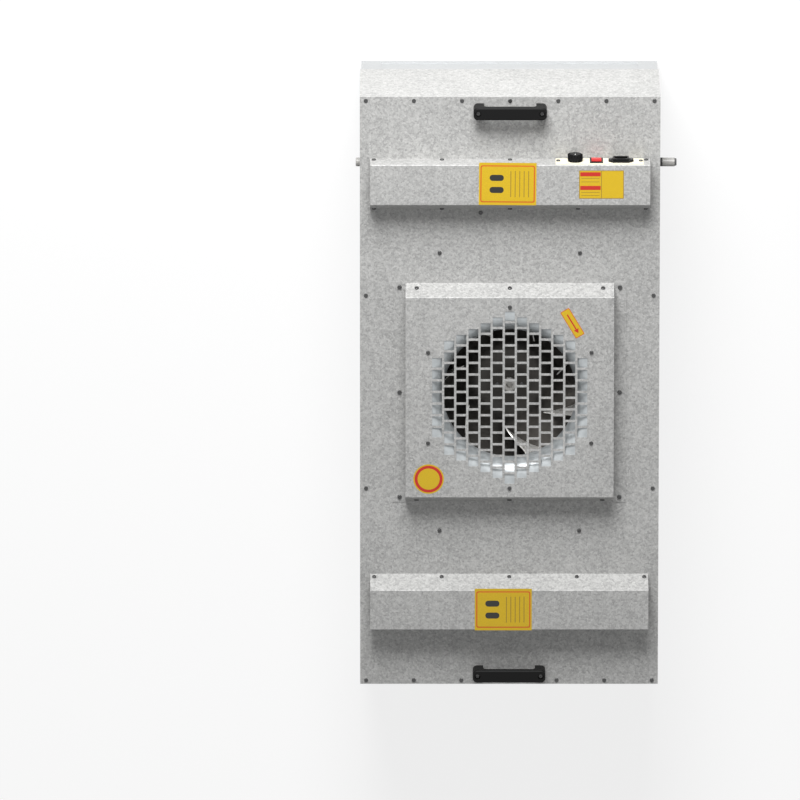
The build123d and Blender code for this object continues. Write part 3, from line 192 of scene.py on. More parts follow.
def level(owner, source, low, high, from_low=0.0, from_high=1.0):
    """A value moved from one range to another."""
    made = add_node(owner, "ShaderNodeMapRange")
    for name, value in (("From Min", from_low), ("From Max", from_high), ("To Min", low), ("To Max", high)):
        made.inputs[name].default_value = value
    link(owner, source, made.inputs["Value"])
    return made.outputs["Result"]


def mixed_values(owner, first, second, share):
    """A blend of two values, with the given share of the second."""
    made = add_node(owner, "ShaderNodeMix", data_type="FLOAT")
    made.inputs[0].default_value = share
    link(owner, first, made.inputs[2])
    link(owner, second, made.inputs[3])
    return made.outputs[0]


def bumped(owner, shader, height, strength, distance):
    made = add_node(owner, "ShaderNodeBump", Strength=strength, Distance=distance)
    link(owner, height, made.inputs["Height"])
    link(owner, made.outputs["Normal"], shader.inputs["Normal"])


def spangled(name, dark, light, metal, rough_low, rough_high):
    """Coated steel: crystals with their own tone and gloss, a fine grain, and long faint streaks."""
    material, shader = new_material(name)
    place = add_node(material, "ShaderNodeTexCoord").outputs["Object"]
    crystals = add_node(material, "ShaderNodeTexVoronoi", Scale=SPANGLE_PER_METRE)
    link(material, place, crystals.inputs["Vector"])
    tone = add_node(material, "ShaderNodeSeparateColor")
    link(material, crystals.outputs["Color"], tone.inputs["Color"])
    grain = add_node(material, "ShaderNodeTexNoise", Scale=SPANGLE_PER_METRE * 1.4, Detail=3.0)
    link(material, place, grain.inputs["Vector"])
    fine = level(material, grain.outputs["Fac"], 0.0, 1.0, 0.3, 0.7)
    flecks = mixed_values(material, tone.outputs["Red"], fine, 0.45)
    stretch = add_node(material, "ShaderNodeMapping")
    stretch.inputs["Scale"].default_value = (1.0, 0.06, 1.0)
    link(material, place, stretch.inputs["Vector"])
    streaks = add_node(material, "ShaderNodeTexNoise", Scale=60.0, Detail=4.0)
    link(material, stretch.outputs["Vector"], streaks.inputs["Vector"])
    clouds = add_node(material, "ShaderNodeTexNoise", Scale=7.0, Detail=3.0)
    link(material, place, clouds.inputs["Vector"])
    broad = mixed_values(material, streaks.outputs["Fac"], clouds.outputs["Fac"], 0.5)
    whole = mixed_values(material, flecks, level(material, broad, 0.0, 1.0, 0.3, 0.7), 0.16)
    link(material, ramp(material, whole, [(0.12, dark), (0.88, light)]), shader.inputs["Base Color"])
    gloss = mixed_values(material, tone.outputs["Green"], broad, 0.35)
    link(material, level(material, gloss, rough_low, rough_high), shader.inputs["Roughness"])
    shader.inputs["Metallic"].default_value = metal
    bumped(material, shader, flecks, 0.3, 0.0003)
    return material


casing_steel = spangled("coated_steel", SPANGLE_DARK, SPANGLE_LIGHT, 0.18, 0.45, 0.7)
paint(casing_steel, *CASING_NODES)

# ---- Labels -----------------------------------------------------------------------------------------------
# Printed plastic film, stuck on the boxes and the cover: two large ones, a small one with coloured bands,
# a round one with a ring and a slim one with an arrow. All are plain fields of colour without words.
FILM = 0.00012
THIN_CORNER = 0.0003
LARGE_LABEL = (0.110, 0.084)
LARGE_FIELD = (0.1045, 0.0735)
LARGE_BORDER = 0.0024
LARGE_MARK = (0.027, 0.012)
LARGE_MARK_PITCH = 0.024
LARGE_MARK_REACH = 0.021
LARGE_BARS = 5
LARGE_BAR = (0.0016, 0.052)
LARGE_BAR_PITCH = 0.0085
LARGE_BAR_START = 0.006
UPPER_LABEL_PLACE = (-0.0048, 0.4275)
UPPER_LABEL_TURN = radians(-0.5)
LOWER_LABEL_PLACE = (-0.0116, -0.4235)
SMALL_LABEL = (0.0858, 0.056)
SMALL_LABEL_PLACE = (0.1746, 0.4262)
SMALL_BORDER = 0.0014
SMALL_BAND = (0.039, 0.008)
SMALL_BAND_PLACES = (0.0205, -0.0065)
SMALL_LINES = (0.0125, 0.0055, -0.0155, -0.0215)
ROUND_LABEL_PLACE = (-0.1556, -0.1627)
ROUND_LABEL_RADII = (0.0295, 0.0268, 0.0212)
ARROW_LABEL = (0.060, 0.0195)
ARROW_LABEL_PLACE = (0.120, 0.149)
ARROW_LABEL_TURN = radians(-59.4)
ARROW_SHAFT = (0.034, 0.0026)
ARROW_HEAD = 0.0058
BOX_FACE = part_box("control_box")[1].z
COVER_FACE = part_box("inlet_cover")[1].z


def moulded(name, colour, rough, grain_per_metre=1400.0, grain=0.2, metal=0.0, shine=0.5):
    """Moulded plastic, rubber, film or paint: one colour with a fine grain and a little variation."""
    material, shader = new_material(name)
    place = add_node(material, "ShaderNodeTexCoord").outputs["Object"]
    noise = add_node(material, "ShaderNodeTexNoise", Scale=grain_per_metre, Detail=3.0)
    link(material, place, noise.inputs["Vector"])
    darker = tuple(c * 0.88 for c in colour[:3]) + (1,)
    lighter = tuple(min(1.0, c * 1.1) for c in colour[:3]) + (1,)
    tone = ramp(material, noise.outputs["Fac"], [(0.3, darker), (0.7, lighter)])
    link(material, tone, shader.inputs["Base Color"])
    gloss = level(material, noise.outputs["Fac"], rough - 0.06, rough + 0.06, 0.3, 0.7)
    link(material, gloss, shader.inputs["Roughness"])
    shader.inputs["Metallic"].default_value = metal
    shader.inputs["Specular IOR Level"].default_value = shine
    bumped(material, shader, noise.outputs["Fac"], grain, 0.0003)
    return material


def settle(piece):
    """Puts a piece's place, turn and scale into its mesh."""
    bpy.ops.object.select_all(action="DESELECT")
    piece.select_set(True)
    bpy.context.view_layer.objects.active = piece
    bpy.ops.object.transform_apply(location=True, rotation=True, scale=True)


def thicken(height):
    """Gives the open flat shape being edited its thickness, with its faces outwards."""
    bpy.ops.mesh.select_all(action="SELECT")
    bpy.ops.mesh.extrude_region_move(TRANSFORM_OT_translate={"value": (0, 0, height)})
    bpy.ops.mesh.select_all(action="SELECT")
    bpy.ops.mesh.normals_make_consistent(inside=False)
    bpy.ops.object.mode_set(mode="OBJECT")


def film_patch(size, colour, corner=0.0006, shift=(0, 0), layer=0):
    """A rectangle of film with rounded corners, on the given layer of print."""
    bpy.ops.object.select_all(action="DESELECT")
    bpy.ops.mesh.primitive_plane_add(size=1)
    patch = bpy.context.object
    patch.scale = (size[0], size[1], 1)
    settle(patch)
    bpy.ops.object.mode_set(mode="EDIT")
    bpy.ops.mesh.select_all(action="SELECT")
    bpy.ops.mesh.bevel(offset=corner, segments=4, affect="VERTICES")
    thicken(FILM)
    patch.location = (shift[0], shift[1], FILM * layer)
    patch.data.materials.append(colour)
    settle(patch)
    return patch


def film_disc(radius, colour, sides=64, shift=0.0, layer=0):
    """A round or three-sided piece of film."""
    bpy.ops.object.select_all(action="DESELECT")
    bpy.ops.mesh.primitive_circle_add(vertices=sides, radius=radius, fill_type="NGON")
    disc = bpy.context.object
    bpy.ops.object.mode_set(mode="EDIT")
    thicken(FILM)
    disc.rotation_euler.z = radians(-90)
    disc.location = (shift, 0, FILM * layer)
    disc.data.materials.append(colour)
    settle(disc)
    return disc


def joined(name, parts):
    """One piece made of several, each of which keeps its material."""
    bpy.ops.object.select_all(action="DESELECT")
    for part in parts:
        part.select_set(True)
    bpy.context.view_layer.objects.active = parts[0]
    bpy.ops.object.join()
    piece = bpy.context.object
    piece.name = name
    return piece


def stick(name, parts, place, height, turn=0.0):
    """Joins the prints of a label and lays it on its sheet."""
    label = joined(name, parts)
    label.location = (place[0], place[1], height)
    label.rotation_euler.z = turn
    settle(label)
    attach(label, "unit")


yellow = moulded("film_yellow", (0.58, 0.385, 0.01, 1), 0.35, 900.0, 0.05)
orange = moulded("film_orange", (0.56, 0.12, 0.01, 1), 0.35, 900.0, 0.05)
red = moulded("film_red", (0.48, 0.022, 0.012, 1), 0.35, 900.0, 0.05)
print_black = moulded("film_black", (0.012, 0.012, 0.01, 1), 0.35, 900.0, 0.05)
print_brown = moulded("film_brown", (0.30, 0.19, 0.02, 1), 0.35, 900.0, 0.05)


def large_label():
    """A yellow label with an orange line round it, two dark marks and a block of thin bars."""
    inner = tuple(side - 2 * LARGE_BORDER for side in LARGE_FIELD)
    parts = [film_patch(LARGE_LABEL, yellow, 0.001)]
    parts.append(film_patch(LARGE_FIELD, orange, 0.004, layer=1))
    parts.append(film_patch(inner, yellow, 0.003, layer=2))
    for side in (1, -1):
        shift = (-LARGE_MARK_REACH, side * LARGE_MARK_PITCH / 2)
        parts.append(film_patch(LARGE_MARK, print_black, 0.0055, shift, 3))
    for i in range(LARGE_BARS):
        shift = (LARGE_BAR_START + LARGE_BAR_PITCH * i, 0)
        parts.append(film_patch(LARGE_BAR, print_brown, THIN_CORNER, shift, 3))
    return parts


stick("upper_label", large_label(), UPPER_LABEL_PLACE, BOX_FACE, UPPER_LABEL_TURN)
stick("lower_label", large_label(), LOWER_LABEL_PLACE, BOX_FACE)

small_field = tuple(side - 2 * SMALL_BORDER for side in SMALL_LABEL)
half_field = ((small_field[0] - SMALL_BORDER) / 2, small_field[1])
half_shift = (small_field[0] + SMALL_BORDER) / 4
small_line = (SMALL_BAND[0] * 0.9, 0.001)
small_parts = [film_patch(SMALL_LABEL, print_brown, 0.001)]
small_parts += [film_patch(half_field, yellow, 0.0005, (side * half_shift, 0), 1) for side in (1, -1)]
small_parts += [film_patch(SMALL_BAND, red, 0.0004, (-half_shift, y), 2) for y in SMALL_BAND_PLACES]
for y in SMALL_LINES:
    small_parts.append(film_patch(small_line, print_brown, THIN_CORNER, (-half_shift, y), 2))
stick("small_label", small_parts, SMALL_LABEL_PLACE, BOX_FACE)

round_colours = (yellow, red, yellow)
round_parts = [film_disc(ROUND_LABEL_RADII[i], round_colours[i], layer=i) for i in range(3)]
stick("round_label", round_parts, ROUND_LABEL_PLACE, COVER_FACE)

arrow_inner = tuple(side - 2 * SMALL_BORDER for side in ARROW_LABEL)
arrow_parts = [film_patch(ARROW_LABEL, orange, 0.002), film_patch(arrow_inner, yellow, 0.0015, layer=1)]
arrow_parts.append(film_patch(ARROW_SHAFT, red, THIN_CORNER, (-ARROW_HEAD / 2, 0), 2))
arrow_parts.append(film_disc(ARROW_HEAD, red, 3, ARROW_SHAFT[0] / 2, 2))
stick("arrow_label", arrow_parts, ARROW_LABEL_PLACE, COVER_FACE, ARROW_LABEL_TURN)

# ---- Brackets, hangers and baffle -------------------------------------------------------------------------
# Plain galvanised strips and plates inside the boxes and the casing. They take the screws and the motor.
STRIP_DARK = (0.36, 0.36, 0.36, 1)
STRIP_LIGHT = (0.56, 0.56, 0.56, 1)
galvanised = spangled("galvanised_steel", STRIP_DARK, STRIP_LIGHT, 0.6, 0.3, 0.5)
paint(
    galvanised,
    "control_box_brackets", "stiffener_brackets", "cover_brackets",
    "hanger_left", "hanger_right", "baffle_plate",
)

# ---- Linings ----------------------------------------------------------------------------------------------
# Open-cell foam, dark grey, glued to the walls and under the top panel to take up sound.
foam, foam_shader = new_material("lining_foam")
foam_place = add_node(foam, "ShaderNodeTexCoord").outputs["Object"]
foam_cells = add_node(foam, "ShaderNodeTexVoronoi", feature="DISTANCE_TO_EDGE", Scale=700.0)
link(foam, foam_place, foam_cells.inputs["Vector"])
foam_dark = (0.015, 0.015, 0.016, 1)
foam_light = (0.05, 0.05, 0.052, 1)
foam_tone = ramp(foam, foam_cells.outputs["Distance"], [(0.0, foam_light), (0.3, foam_dark)])
link(foam, foam_tone, foam_shader.inputs["Base Color"])
foam_shader.inputs["Roughness"].default_value = 0.95
bumped(foam, foam_shader, foam_cells.outputs["Distance"], 0.6, 0.0008)
paint(foam, "side_linings", "end_linings", "top_lining")

# ---- Filter rails and gasket ------------------------------------------------------------------------------
# Extruded aluminium rails, mitred and tied by angles at the corners, with a foam gasket on top of them.
rail_metal, rail_shader = new_material("anodised_rail")
rail_place = add_node(rail_metal, "ShaderNodeTexCoord").outputs["Object"]
rail_grain = add_node(rail_metal, "ShaderNodeTexNoise", Scale=900.0, Detail=2.0)
link(rail_metal, rail_place, rail_grain.inputs["Vector"])
rail_dark = (0.43, 0.44, 0.445, 1)
rail_light = (0.51, 0.52, 0.525, 1)
rail_tone = ramp(rail_metal, rail_grain.outputs["Fac"], [(0.3, rail_dark), (0.7, rail_light)])
link(rail_metal, rail_tone, rail_shader.inputs["Base Color"])
rail_shader.inputs["Metallic"].default_value = 0.6
rail_shader.inputs["Roughness"].default_value = 0.42
bumped(rail_metal, rail_shader, rail_grain.outputs["Fac"], 0.1, 0.0002)
paint(
    rail_metal,
    "filter_rail_left", "filter_rail_right", "filter_rail_control_end", "filter_rail_plain_end",
    "filter_corner_angles",
)
paint(moulded("gasket_foam", (0.06, 0.06, 0.06, 1), 0.9), "filter_gasket")

# ---- Filter paper -----------------------------------------------------------------------------------------
# One long sheet of white glass-fibre paper, folded into hundreds of fine pleats and glued into the rails.
PLEAT_PITCH = 0.0042
PAPER = 0.0004
paper_low, paper_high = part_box("filter_media_pack")
paper_size = paper_high - paper_low
pleats = round(paper_size.y / PLEAT_PITCH)
bpy.ops.object.select_all(action="DESELECT")
bpy.ops.mesh.primitive_grid_add(x_subdivisions=1, y_subdivisions=2 * pleats, size=1)
paper = bpy.context.object
paper.name = "pleated_paper"
paper.scale = (paper_size.x, paper_size.y, 1)
paper.location = ((paper_low.x + paper_high.x) / 2, (paper_low.y + paper_high.y) / 2, paper_low.z + PAPER)
settle(paper)
fold = paper_size.y / (2 * pleats)
for corner in paper.data.vertices:
    corner.select = round((corner.co.y - paper_low.y) / fold) % 2 == 1
for edge in paper.data.edges:
    edge.select = all(paper.data.vertices[i].select for i in edge.vertices)
for face in paper.data.polygons:
    face.select = False
bpy.ops.object.mode_set(mode="EDIT")
bpy.ops.mesh.select_mode(type="EDGE")
bpy.ops.transform.translate(value=(0, 0, paper_size.z - 2 * PAPER))
bpy.ops.object.mode_set(mode="OBJECT")
wall = paper.modifiers.new("paper", "SOLIDIFY")
wall.thickness = PAPER
wall.offset = 0.0
bpy.ops.object.modifier_apply(modifier=wall.name)
paper.data.materials.append(moulded("filter_paper", (0.88, 0.88, 0.87, 1), 0.9, 2500.0, 0.3))
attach(paper, "unit")
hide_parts("filter_media_pack")

# ---- Filter guards ----------------------------------------------------------------------------------------
# Expanded steel mesh with a white powder coat, one sheet over each face of the pleats.
DIAMOND = (0.0165, 0.0100)
STRAND = 0.0010
guard_paint = moulded("guard_paint", (0.86, 0.87, 0.87, 1), 0.45)


def guard_mesh(node):
    """A sheet of diamonds cut to the size of its CAD node, with its strands thickened."""
    low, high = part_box(node)
    size = high - low
    side = size.x / DIAMOND[0] + size.y / DIAMOND[1] + 4
    cells = 2 * round(side / 2)
    bpy.ops.object.select_all(action="DESELECT")
    bpy.ops.mesh.primitive_grid_add(x_subdivisions=cells, y_subdivisions=cells, size=cells)
    mesh = bpy.context.object
    mesh.rotation_euler.z = radians(45)
    settle(mesh)
    stretch = 0.5 ** 0.5
    mesh.scale = (DIAMOND[0] * stretch, DIAMOND[1] * stretch, 1)
    mesh.location = (low + high) / 2
    settle(mesh)
    bpy.ops.object.mode_set(mode="EDIT")
    for point, out in ((low, (-1, 0, 0)), (low, (0, -1, 0)), (high, (1, 0, 0)), (high, (0, 1, 0))):
        bpy.ops.mesh.select_all(action="SELECT")
        bpy.ops.mesh.bisect(plane_co=point, plane_no=out, clear_outer=True)
    bpy.ops.object.mode_set(mode="OBJECT")
    strands = mesh.modifiers.new("strands", "WIREFRAME")
    strands.thickness = STRAND
    strands.use_boundary = True
    strands.use_even_offset = False
    bpy.ops.object.modifier_apply(modifier=strands.name)
    mesh.name = node + "_mesh"
    mesh.data.materials.append(guard_paint)
    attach(mesh, "unit")
    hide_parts(node)


guard_mesh("filter_outlet_guard")
guard_mesh("filter_inlet_guard")

# ---- Inlet ring and fan wheel -----------------------------------------------------------------------------
# A spun galvanised ring leads the air into a backward-curved wheel: a dark back plate that is domed over the
# motor, rolled aluminium blades and a spun shroud, all held by the outer rotor of the motor.
# The back plate's colour is painted shade near its axis and a painted reflection that grows lighter towards
# its rim.
# Painted light on the back plate: painted shade near the axis blends into a lighter painted reflection
# towards the rim.
PLATE_PAINTED_SHADE = (0.03, 0.028, 0.025, 1)
PLATE_PAINTED_REFLECTION = (0.17, 0.16, 0.15, 1)
PLATE_SHADE_RADIUS = 0.035
PLATE_REFLECTION_RADIUS = 0.12
back_plate_shaded, plate_shader = new_material("painted_light_back_plate")
plate_place = add_node(back_plate_shaded, "ShaderNodeTexCoord").outputs["Object"]
flattened = add_node(back_plate_shaded, "ShaderNodeMapping")
flattened.inputs["Scale"].default_value = (1, 1, 0)
link(back_plate_shaded, plate_place, flattened.inputs["Vector"])
from_axis = add_node(back_plate_shaded, "ShaderNodeVectorMath", operation="LENGTH")
link(back_plate_shaded, flattened.outputs["Vector"], from_axis.inputs[0])
plate_noise = add_node(back_plate_shaded, "ShaderNodeTexNoise", Scale=60.0, Detail=4.0)
link(back_plate_shaded, plate_place, plate_noise.inputs["Vector"])
# Painted reflection: the tone lightens with distance from the axis, over painted shade near the centre.
reflection_towards_rim = level(
    back_plate_shaded, from_axis.outputs["Value"], 0.0, 1.0, PLATE_SHADE_RADIUS, PLATE_REFLECTION_RADIUS
)
reflection_and_mottle = mixed_values(back_plate_shaded, reflection_towards_rim, plate_noise.outputs["Fac"], 0.12)
plate_tone = ramp(back_plate_shaded, reflection_and_mottle, [(0.0, PLATE_PAINTED_SHADE), (1.0, PLATE_PAINTED_REFLECTION)])
link(back_plate_shaded, plate_tone, plate_shader.inputs["Base Color"])
plate_gloss = level(back_plate_shaded, plate_noise.outputs["Fac"], 0.32, 0.48)
link(back_plate_shaded, plate_gloss, plate_shader.inputs["Roughness"])
plate_shader.inputs["Metallic"].default_value = 0.8
bumped(back_plate_shaded, plate_shader, plate_noise.outputs["Fac"], 0.1, 0.0003)
paint(back_plate_shaded, "impeller_back_plate")
paint(moulded("ring_steel", (0.44, 0.465, 0.475, 1), 0.36, 90.0, 0.05, 0.3), "inlet_ring")
paint(moulded("rolled_aluminium", (0.82, 0.81, 0.78, 1), 0.30, 120.0, 0.05, 0.3), "impeller_blades")
paint(moulded("spun_aluminium", (0.26, 0.26, 0.26, 1), 0.34, 120.0, 0.05, 0.6), "impeller_shroud")
paint(moulded("cast_rotor", (0.42, 0.41, 0.39, 1), 0.35, 900.0, 0.3, 0.6), "motor_rotor")
paint(moulded("wound_stator", (0.2, 0.13, 0.08, 1), 0.5, 900.0, 0.3, 0.3), "motor_stator")

# ---- Screws and rivets ------------------------------------------------------------------------------------
# Zinc-plated pan-head screws with a cross recess, blind rivets with the hole of their pulled stem, and
# plain hexagon nuts inside. Each is seated where its CAD node has it.
SIDES = 28
HEAD_ROUNDING = 0.45
RECESS_REACH = 0.62
RECESS_WIDTH = 0.17
RECESS_DEPTH = 0.6
STEM_HOLE = 0.34
STEM_DEPTH = 0.7
TURN_STEP = radians(37)
zinc = moulded("zinc_plate", (0.085, 0.085, 0.085, 1), 0.2, 1500.0, 0.05, 0.45)


def seats(node):
    """The seats of a node's screws: each has a centre, an outward axis, and the head's and shank's sizes."""
    shape = bmesh.new()
    shape.from_mesh(nodes[node].data)
    bmesh.ops.remove_doubles(shape, verts=shape.verts, dist=1e-6)
    waiting = set(shape.faces)
    found = []
    while waiting:
        island = [waiting.pop()]
        for face in island:
            for edge in face.edges:
                for other in edge.link_faces:
                    if other in waiting:
                        waiting.discard(other)
                        island.append(other)
        planes = {}
        for face in island:
            plane = [round(part, 2) for part in face.normal]
            plane.append(round(face.normal.dot(face.verts[0].co), 4))
            planes.setdefault(tuple(plane), []).append(face)
        under = max(planes.values(), key=lambda faces: sum(face.calc_area() for face in faces))
        area = sum(face.calc_area() for face in under)
        centre = sum((face.calc_center_median() * face.calc_area() for face in under), Vector()) / area
        axis = -under[0].normal
        arms = [vertex.co - centre for face in island for vertex in face.verts]
        rise = max(arm.dot(axis) for arm in arms)
        reach = -min(arm.dot(axis) for arm in arms)
        head = max((arm - axis * arm.dot(axis)).length for arm in arms)
        low = [arm for arm in arms if arm.dot(axis) < -reach * 0.9]
        shank = max((arm - axis * arm.dot(axis)).length for arm in low)
        found.append((centre, axis, head, rise, shank, reach))
    shape.free()
    return sorted(found, key=lambda seat: (round(seat[0].y, 4), round(seat[0].x, 4), round(seat[0].z, 4)))


def select_ends(piece, upper):
    """Selects the faces of a piece that point straight up or straight down."""
    bpy.ops.object.mode_set(mode="OBJECT")
    for vertex in piece.data.vertices:
        vertex.select = False
    for edge in piece.data.edges:
        edge.select = False
    for face in piece.data.polygons:
        face.select = face.normal.z > 0.99 if upper else face.normal.z < -0.99
    bpy.ops.object.mode_set(mode="EDIT")
    bpy.ops.mesh.select_mode(type="FACE")


def turned_blank(head, rise, shank, reach):
    """A round head on a shank: a drum whose lower face is drawn in and pulled down, with a rounded crown."""
    bpy.ops.object.select_all(action="DESELECT")
    bpy.ops.mesh.primitive_cylinder_add(vertices=SIDES, radius=head, depth=rise, location=(0, 0, rise / 2))
    blank = bpy.context.object
    settle(blank)
    select_ends(blank, False)
    bpy.ops.mesh.inset(thickness=head - shank)
    bpy.ops.mesh.extrude_region_move(TRANSFORM_OT_translate={"value": (0, 0, -reach)})
    select_ends(blank, True)
    bpy.ops.mesh.bevel(offset=rise * HEAD_ROUNDING, segments=4, affect="EDGES")
    bpy.ops.object.mode_set(mode="OBJECT")
    return blank


def cross_screw(head, rise, shank, reach):
    """A pan head with a cross recess pressed into its crown."""
    blank = turned_blank(head, rise, shank, reach)
    bars = []
    for size in ((RECESS_REACH, RECESS_WIDTH), (RECESS_WIDTH, RECESS_REACH)):
        bpy.ops.object.select_all(action="DESELECT")
        bpy.ops.mesh.primitive_cube_add(size=2, location=(0, 0, rise))
        bar = bpy.context.object
        bar.scale = (head * size[0], head * size[1], rise * RECESS_DEPTH)
        settle(bar)
        bars.append(bar)
    for bar in bars:
        cut = blank.modifiers.new("recess", "BOOLEAN")
        cut.object = bar
        cut.operation = "DIFFERENCE"
        cut.solver = "EXACT"
        bpy.context.view_layer.objects.active = blank
        bpy.ops.object.modifier_apply(modifier=cut.name)
        bpy.data.objects.remove(bar)
    return blank


def blind_rivet(head, rise, shank, reach):
    """A domed head with the hole that the broken stem leaves."""
    blank = turned_blank(head, rise, shank, reach)
    select_ends(blank, True)
    bpy.ops.mesh.inset(thickness=head * STEM_HOLE)
    bpy.ops.mesh.extrude_region_move(TRANSFORM_OT_translate={"value": (0, 0, -rise * STEM_DEPTH)})
    bpy.ops.object.mode_set(mode="OBJECT")
    return blank


def fasten(node, body, make):
    """Sets one made fastener on every seat of a CAD node and replaces the node with them."""
    places = seats(node)
    model = make(*places[0][2:])
    copies = []
    for i, (centre, axis, *sizes) in enumerate(places):
        one = model.copy()
        one.data = model.data.copy()
        bpy.context.collection.objects.link(one)
        turn = axis.to_track_quat("Z", "Y").to_matrix().to_4x4()
        one.data.transform(Matrix.Translation(centre) @ turn @ Matrix.Rotation(TURN_STEP * i, 4, "Z"))
        copies.append(one)
    bpy.data.objects.remove(model)
    piece = joined(node + "_set", copies)
    piece.data.materials.append(zinc)
    bpy.ops.object.shade_smooth_by_angle(angle=radians(35))
    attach(piece, body)
    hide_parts(node)


fasten("edge_rivets", "unit", blind_rivet)
for screw_node in (
    "earth_screw", "control_box_screws", "stiffener_screws", "cover_screws", "ring_screws",
    "control_plate_screws", "hanger_screws", "baffle_screws", "handle_screws",
):
    fasten(screw_node, "unit", cross_screw)
fasten("impeller_screws", "fan_wheel", cross_screw)
paint(zinc, "handle_nuts")

# ---- Handles ----------------------------------------------------------------------------------------------
# Black bridge handles of moulded nylon, with rounded edges and a fine grain, bolted through the panel.
nylon = moulded("handle_nylon", (0.006, 0.006, 0.006, 1), 0.5, 1800.0, 0.3, shine=0.12)
paint(nylon, "handle_control_end", "handle_plain_end")

# ---- Control plate, switch and inlet ----------------------------------------------------------------------
# A cream powder-coated plate with a rocker switch in a black bezel and an appliance inlet with its pins.
paint(moulded("plate_paint", (0.80, 0.74, 0.58, 1), 0.4), "control_plate")
paint(moulded("rocker_plastic", (0.58, 0.03, 0.03, 1), 0.25), "rocker")
switch_plastic = moulded("switch_plastic", (0.008, 0.008, 0.008, 1), 0.35, shine=0.15)
paint(switch_plastic, "rocker_bezel", "power_inlet", "speed_controller")
paint(moulded("pin_brass", (0.7, 0.62, 0.4, 1), 0.25, 900.0, 0.1, 0.9), "power_inlet_pins")
paint(moulded("terminal_plastic", (0.8, 0.8, 0.76, 1), 0.4), "terminal_block")

# ---- Speed knob -------------------------------------------------------------------------------------------
# A fluted black knob, moulded with a skirt, pressed on the spindle of the controller. A white line on its
# crown shows where it is set.
KNOB_SIDES = 48
KNOB_SKIRT = 0.0025
KNOB_TAPER = 0.82
KNOB_FOOT_GAP = 0.0005
KNOB_STEP = 0.06
KNOB_STEP_SCALE = 0.94
KNOB_CROWN_ROUNDING = 0.0012
FLUTE_INSET = 0.00035
FLUTE_DEPTH = 0.94
POINTER = (0.0011, 0.0075)
POINTER_RISE = 0.0001
knob_low, knob_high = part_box("speed_knob")
plate_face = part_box("control_plate")[1].y
knob_centre = (knob_low + knob_high) / 2
knob_radius = (knob_high.x - knob_low.x) / 2
knob_foot = plate_face + KNOB_FOOT_GAP
knob_height = knob_high.y - knob_foot
bpy.ops.object.select_all(action="DESELECT")
bpy.ops.mesh.primitive_cylinder_add(vertices=KNOB_SIDES, radius=knob_radius, depth=KNOB_SKIRT)
knob = bpy.context.object
knob.name = "fluted_knob"
knob.location.z = KNOB_SKIRT / 2
settle(knob)
select_ends(knob, True)
bpy.ops.mesh.inset(thickness=knob_radius * KNOB_STEP)
bpy.ops.mesh.extrude_region_move(TRANSFORM_OT_translate={"value": (0, 0, knob_height - KNOB_SKIRT)})
bpy.ops.transform.resize(value=(KNOB_TAPER / KNOB_STEP_SCALE, KNOB_TAPER / KNOB_STEP_SCALE, 1))
bpy.ops.object.mode_set(mode="OBJECT")
for vertex in knob.data.vertices:
    vertex.select = False
for edge in knob.data.edges:
    edge.select = False
for face in knob.data.polygons:
    around = Vector((1, 0)).angle_signed(Vector((face.center.x, face.center.y)), 0)
    slot_number = round(around / radians(360 / KNOB_SIDES) - 0.5)
    face.select = abs(face.normal.z) < 0.5 and face.center.z > KNOB_SKIRT * 1.5 and slot_number % 3 == 0
bpy.ops.object.mode_set(mode="EDIT")
bpy.ops.mesh.inset(thickness=FLUTE_INSET, use_individual=True)
bpy.ops.transform.resize(value=(FLUTE_DEPTH, FLUTE_DEPTH, 1), center_override=(0, 0, 0))
select_ends(knob, True)
bpy.ops.object.mode_set(mode="OBJECT")
for face in knob.data.polygons:
    face.select = face.normal.z > 0.99 and face.center.z > knob_height * 0.9
bpy.ops.object.mode_set(mode="EDIT")
bpy.ops.mesh.bevel(offset=KNOB_CROWN_ROUNDING, segments=3, affect="EDGES")
bpy.ops.object.mode_set(mode="OBJECT")
stand = Matrix.Translation((knob_centre.x, knob_foot, knob_centre.z)) @ Matrix.Rotation(radians(-90), 4, "X")
knob.data.transform(stand)
knob.data.materials.append(moulded("knob_plastic", (0.006, 0.006, 0.006, 1), 0.35, shine=0.15))
bpy.ops.object.select_all(action="DESELECT")
knob.select_set(True)
bpy.context.view_layer.objects.active = knob
bpy.ops.object.shade_smooth_by_angle(angle=radians(30))
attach(knob, "knob")
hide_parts("speed_knob")

pointer = film_patch(POINTER, moulded("pointer_white", (0.8, 0.8, 0.78, 1), 0.5), 0.0004)
pointer.name = "knob_pointer"
pointer.data.transform(Matrix.Translation((0, -POINTER[1] * 0.6, knob_height - POINTER_RISE)))
pointer.data.transform(stand)
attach(pointer, "knob")

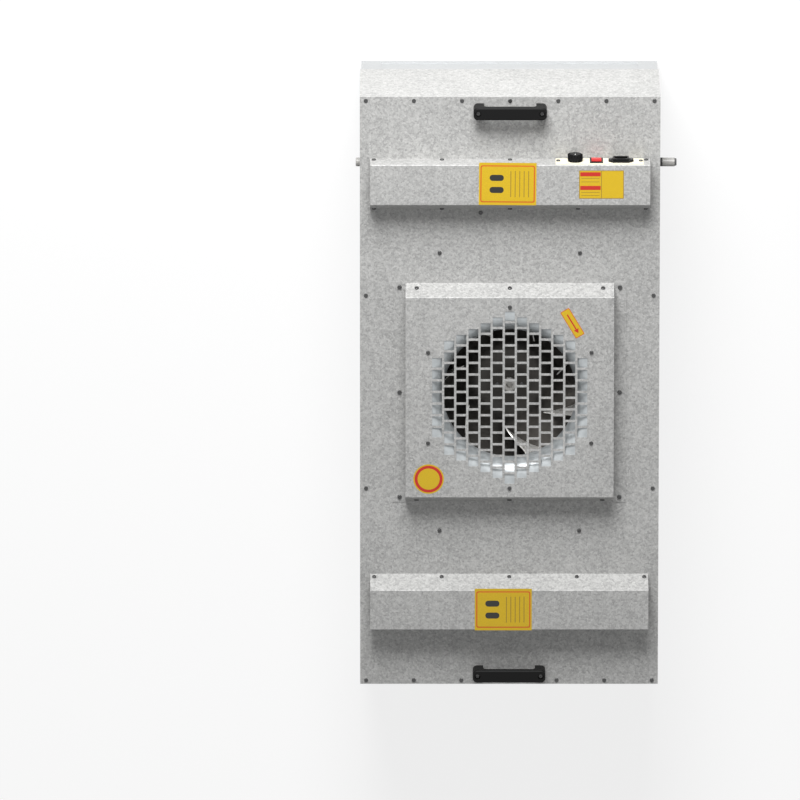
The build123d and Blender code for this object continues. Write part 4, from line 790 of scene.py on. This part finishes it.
# ---- Side fittings ----------------------------------------------------------------------------------------
# A cable gland of grey moulded plastic: a ribbed body screwed against a rubber collar, with a dark clamping
# cap. A plain plug closes the matching hole on the other side, and locknuts hold both.
RIB_SIDES = 40
RIB_INSET = 0.0002
RIB_DEPTH = 0.95
RIB_END = 0.0015
BORE_SHARE = 0.53
WALL_SHARE = 0.9
gland_paint = moulded("gland_plastic", (0.36, 0.355, 0.34, 1), 0.4)
gland_low, gland_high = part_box("gland_body")
cap_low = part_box("gland_cap")[0]
collar_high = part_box("gland_collar")[1]
gland_radius = (gland_high.z - gland_low.z) / 2
gland_bore = gland_radius * BORE_SHARE
gland_length = cap_low.x - collar_high.x
bpy.ops.object.select_all(action="DESELECT")
bpy.ops.mesh.primitive_cylinder_add(
    vertices=RIB_SIDES, radius=gland_radius, depth=gland_length, end_fill_type="NOTHING",
    location=(0, 0, gland_length / 2),
)
gland = bpy.context.object
gland.name = "ribbed_gland"
settle(gland)
for face in gland.data.polygons:
    face.select = face.index % 2 == 0
bpy.ops.object.mode_set(mode="EDIT")
bpy.ops.mesh.select_mode(type="FACE")
bpy.ops.mesh.inset(thickness=RIB_INSET, use_individual=True)
rib_scale = (RIB_DEPTH, RIB_DEPTH, 1 - RIB_END / gland_length)
bpy.ops.transform.resize(value=rib_scale, center_override=(0, 0, gland_length / 2))
bpy.ops.mesh.select_all(action="SELECT")
bpy.ops.mesh.normals_make_consistent(inside=False)
bpy.ops.object.mode_set(mode="OBJECT")
gland_wall = gland.modifiers.new("wall", "SOLIDIFY")
gland_wall.thickness = gland_radius * WALL_SHARE - gland_bore
gland_wall.offset = -1.0
bpy.ops.object.modifier_apply(modifier=gland_wall.name)
lay = Matrix.Translation((collar_high.x, (gland_low.y + gland_high.y) / 2, (gland_low.z + gland_high.z) / 2))
gland.data.transform(lay @ Matrix.Rotation(radians(90), 4, "Y"))
gland.data.materials.append(gland_paint)
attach(gland, "unit")
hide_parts("gland_body")
paint(gland_paint, "blanking_plug", "locknuts")
paint(moulded("gland_dark_plastic", (0.07, 0.07, 0.07, 1), 0.4), "gland_cap")
paint(moulded("black_rubber", (0.02, 0.02, 0.02, 1), 0.6), "gland_collar", "cable_grommet")
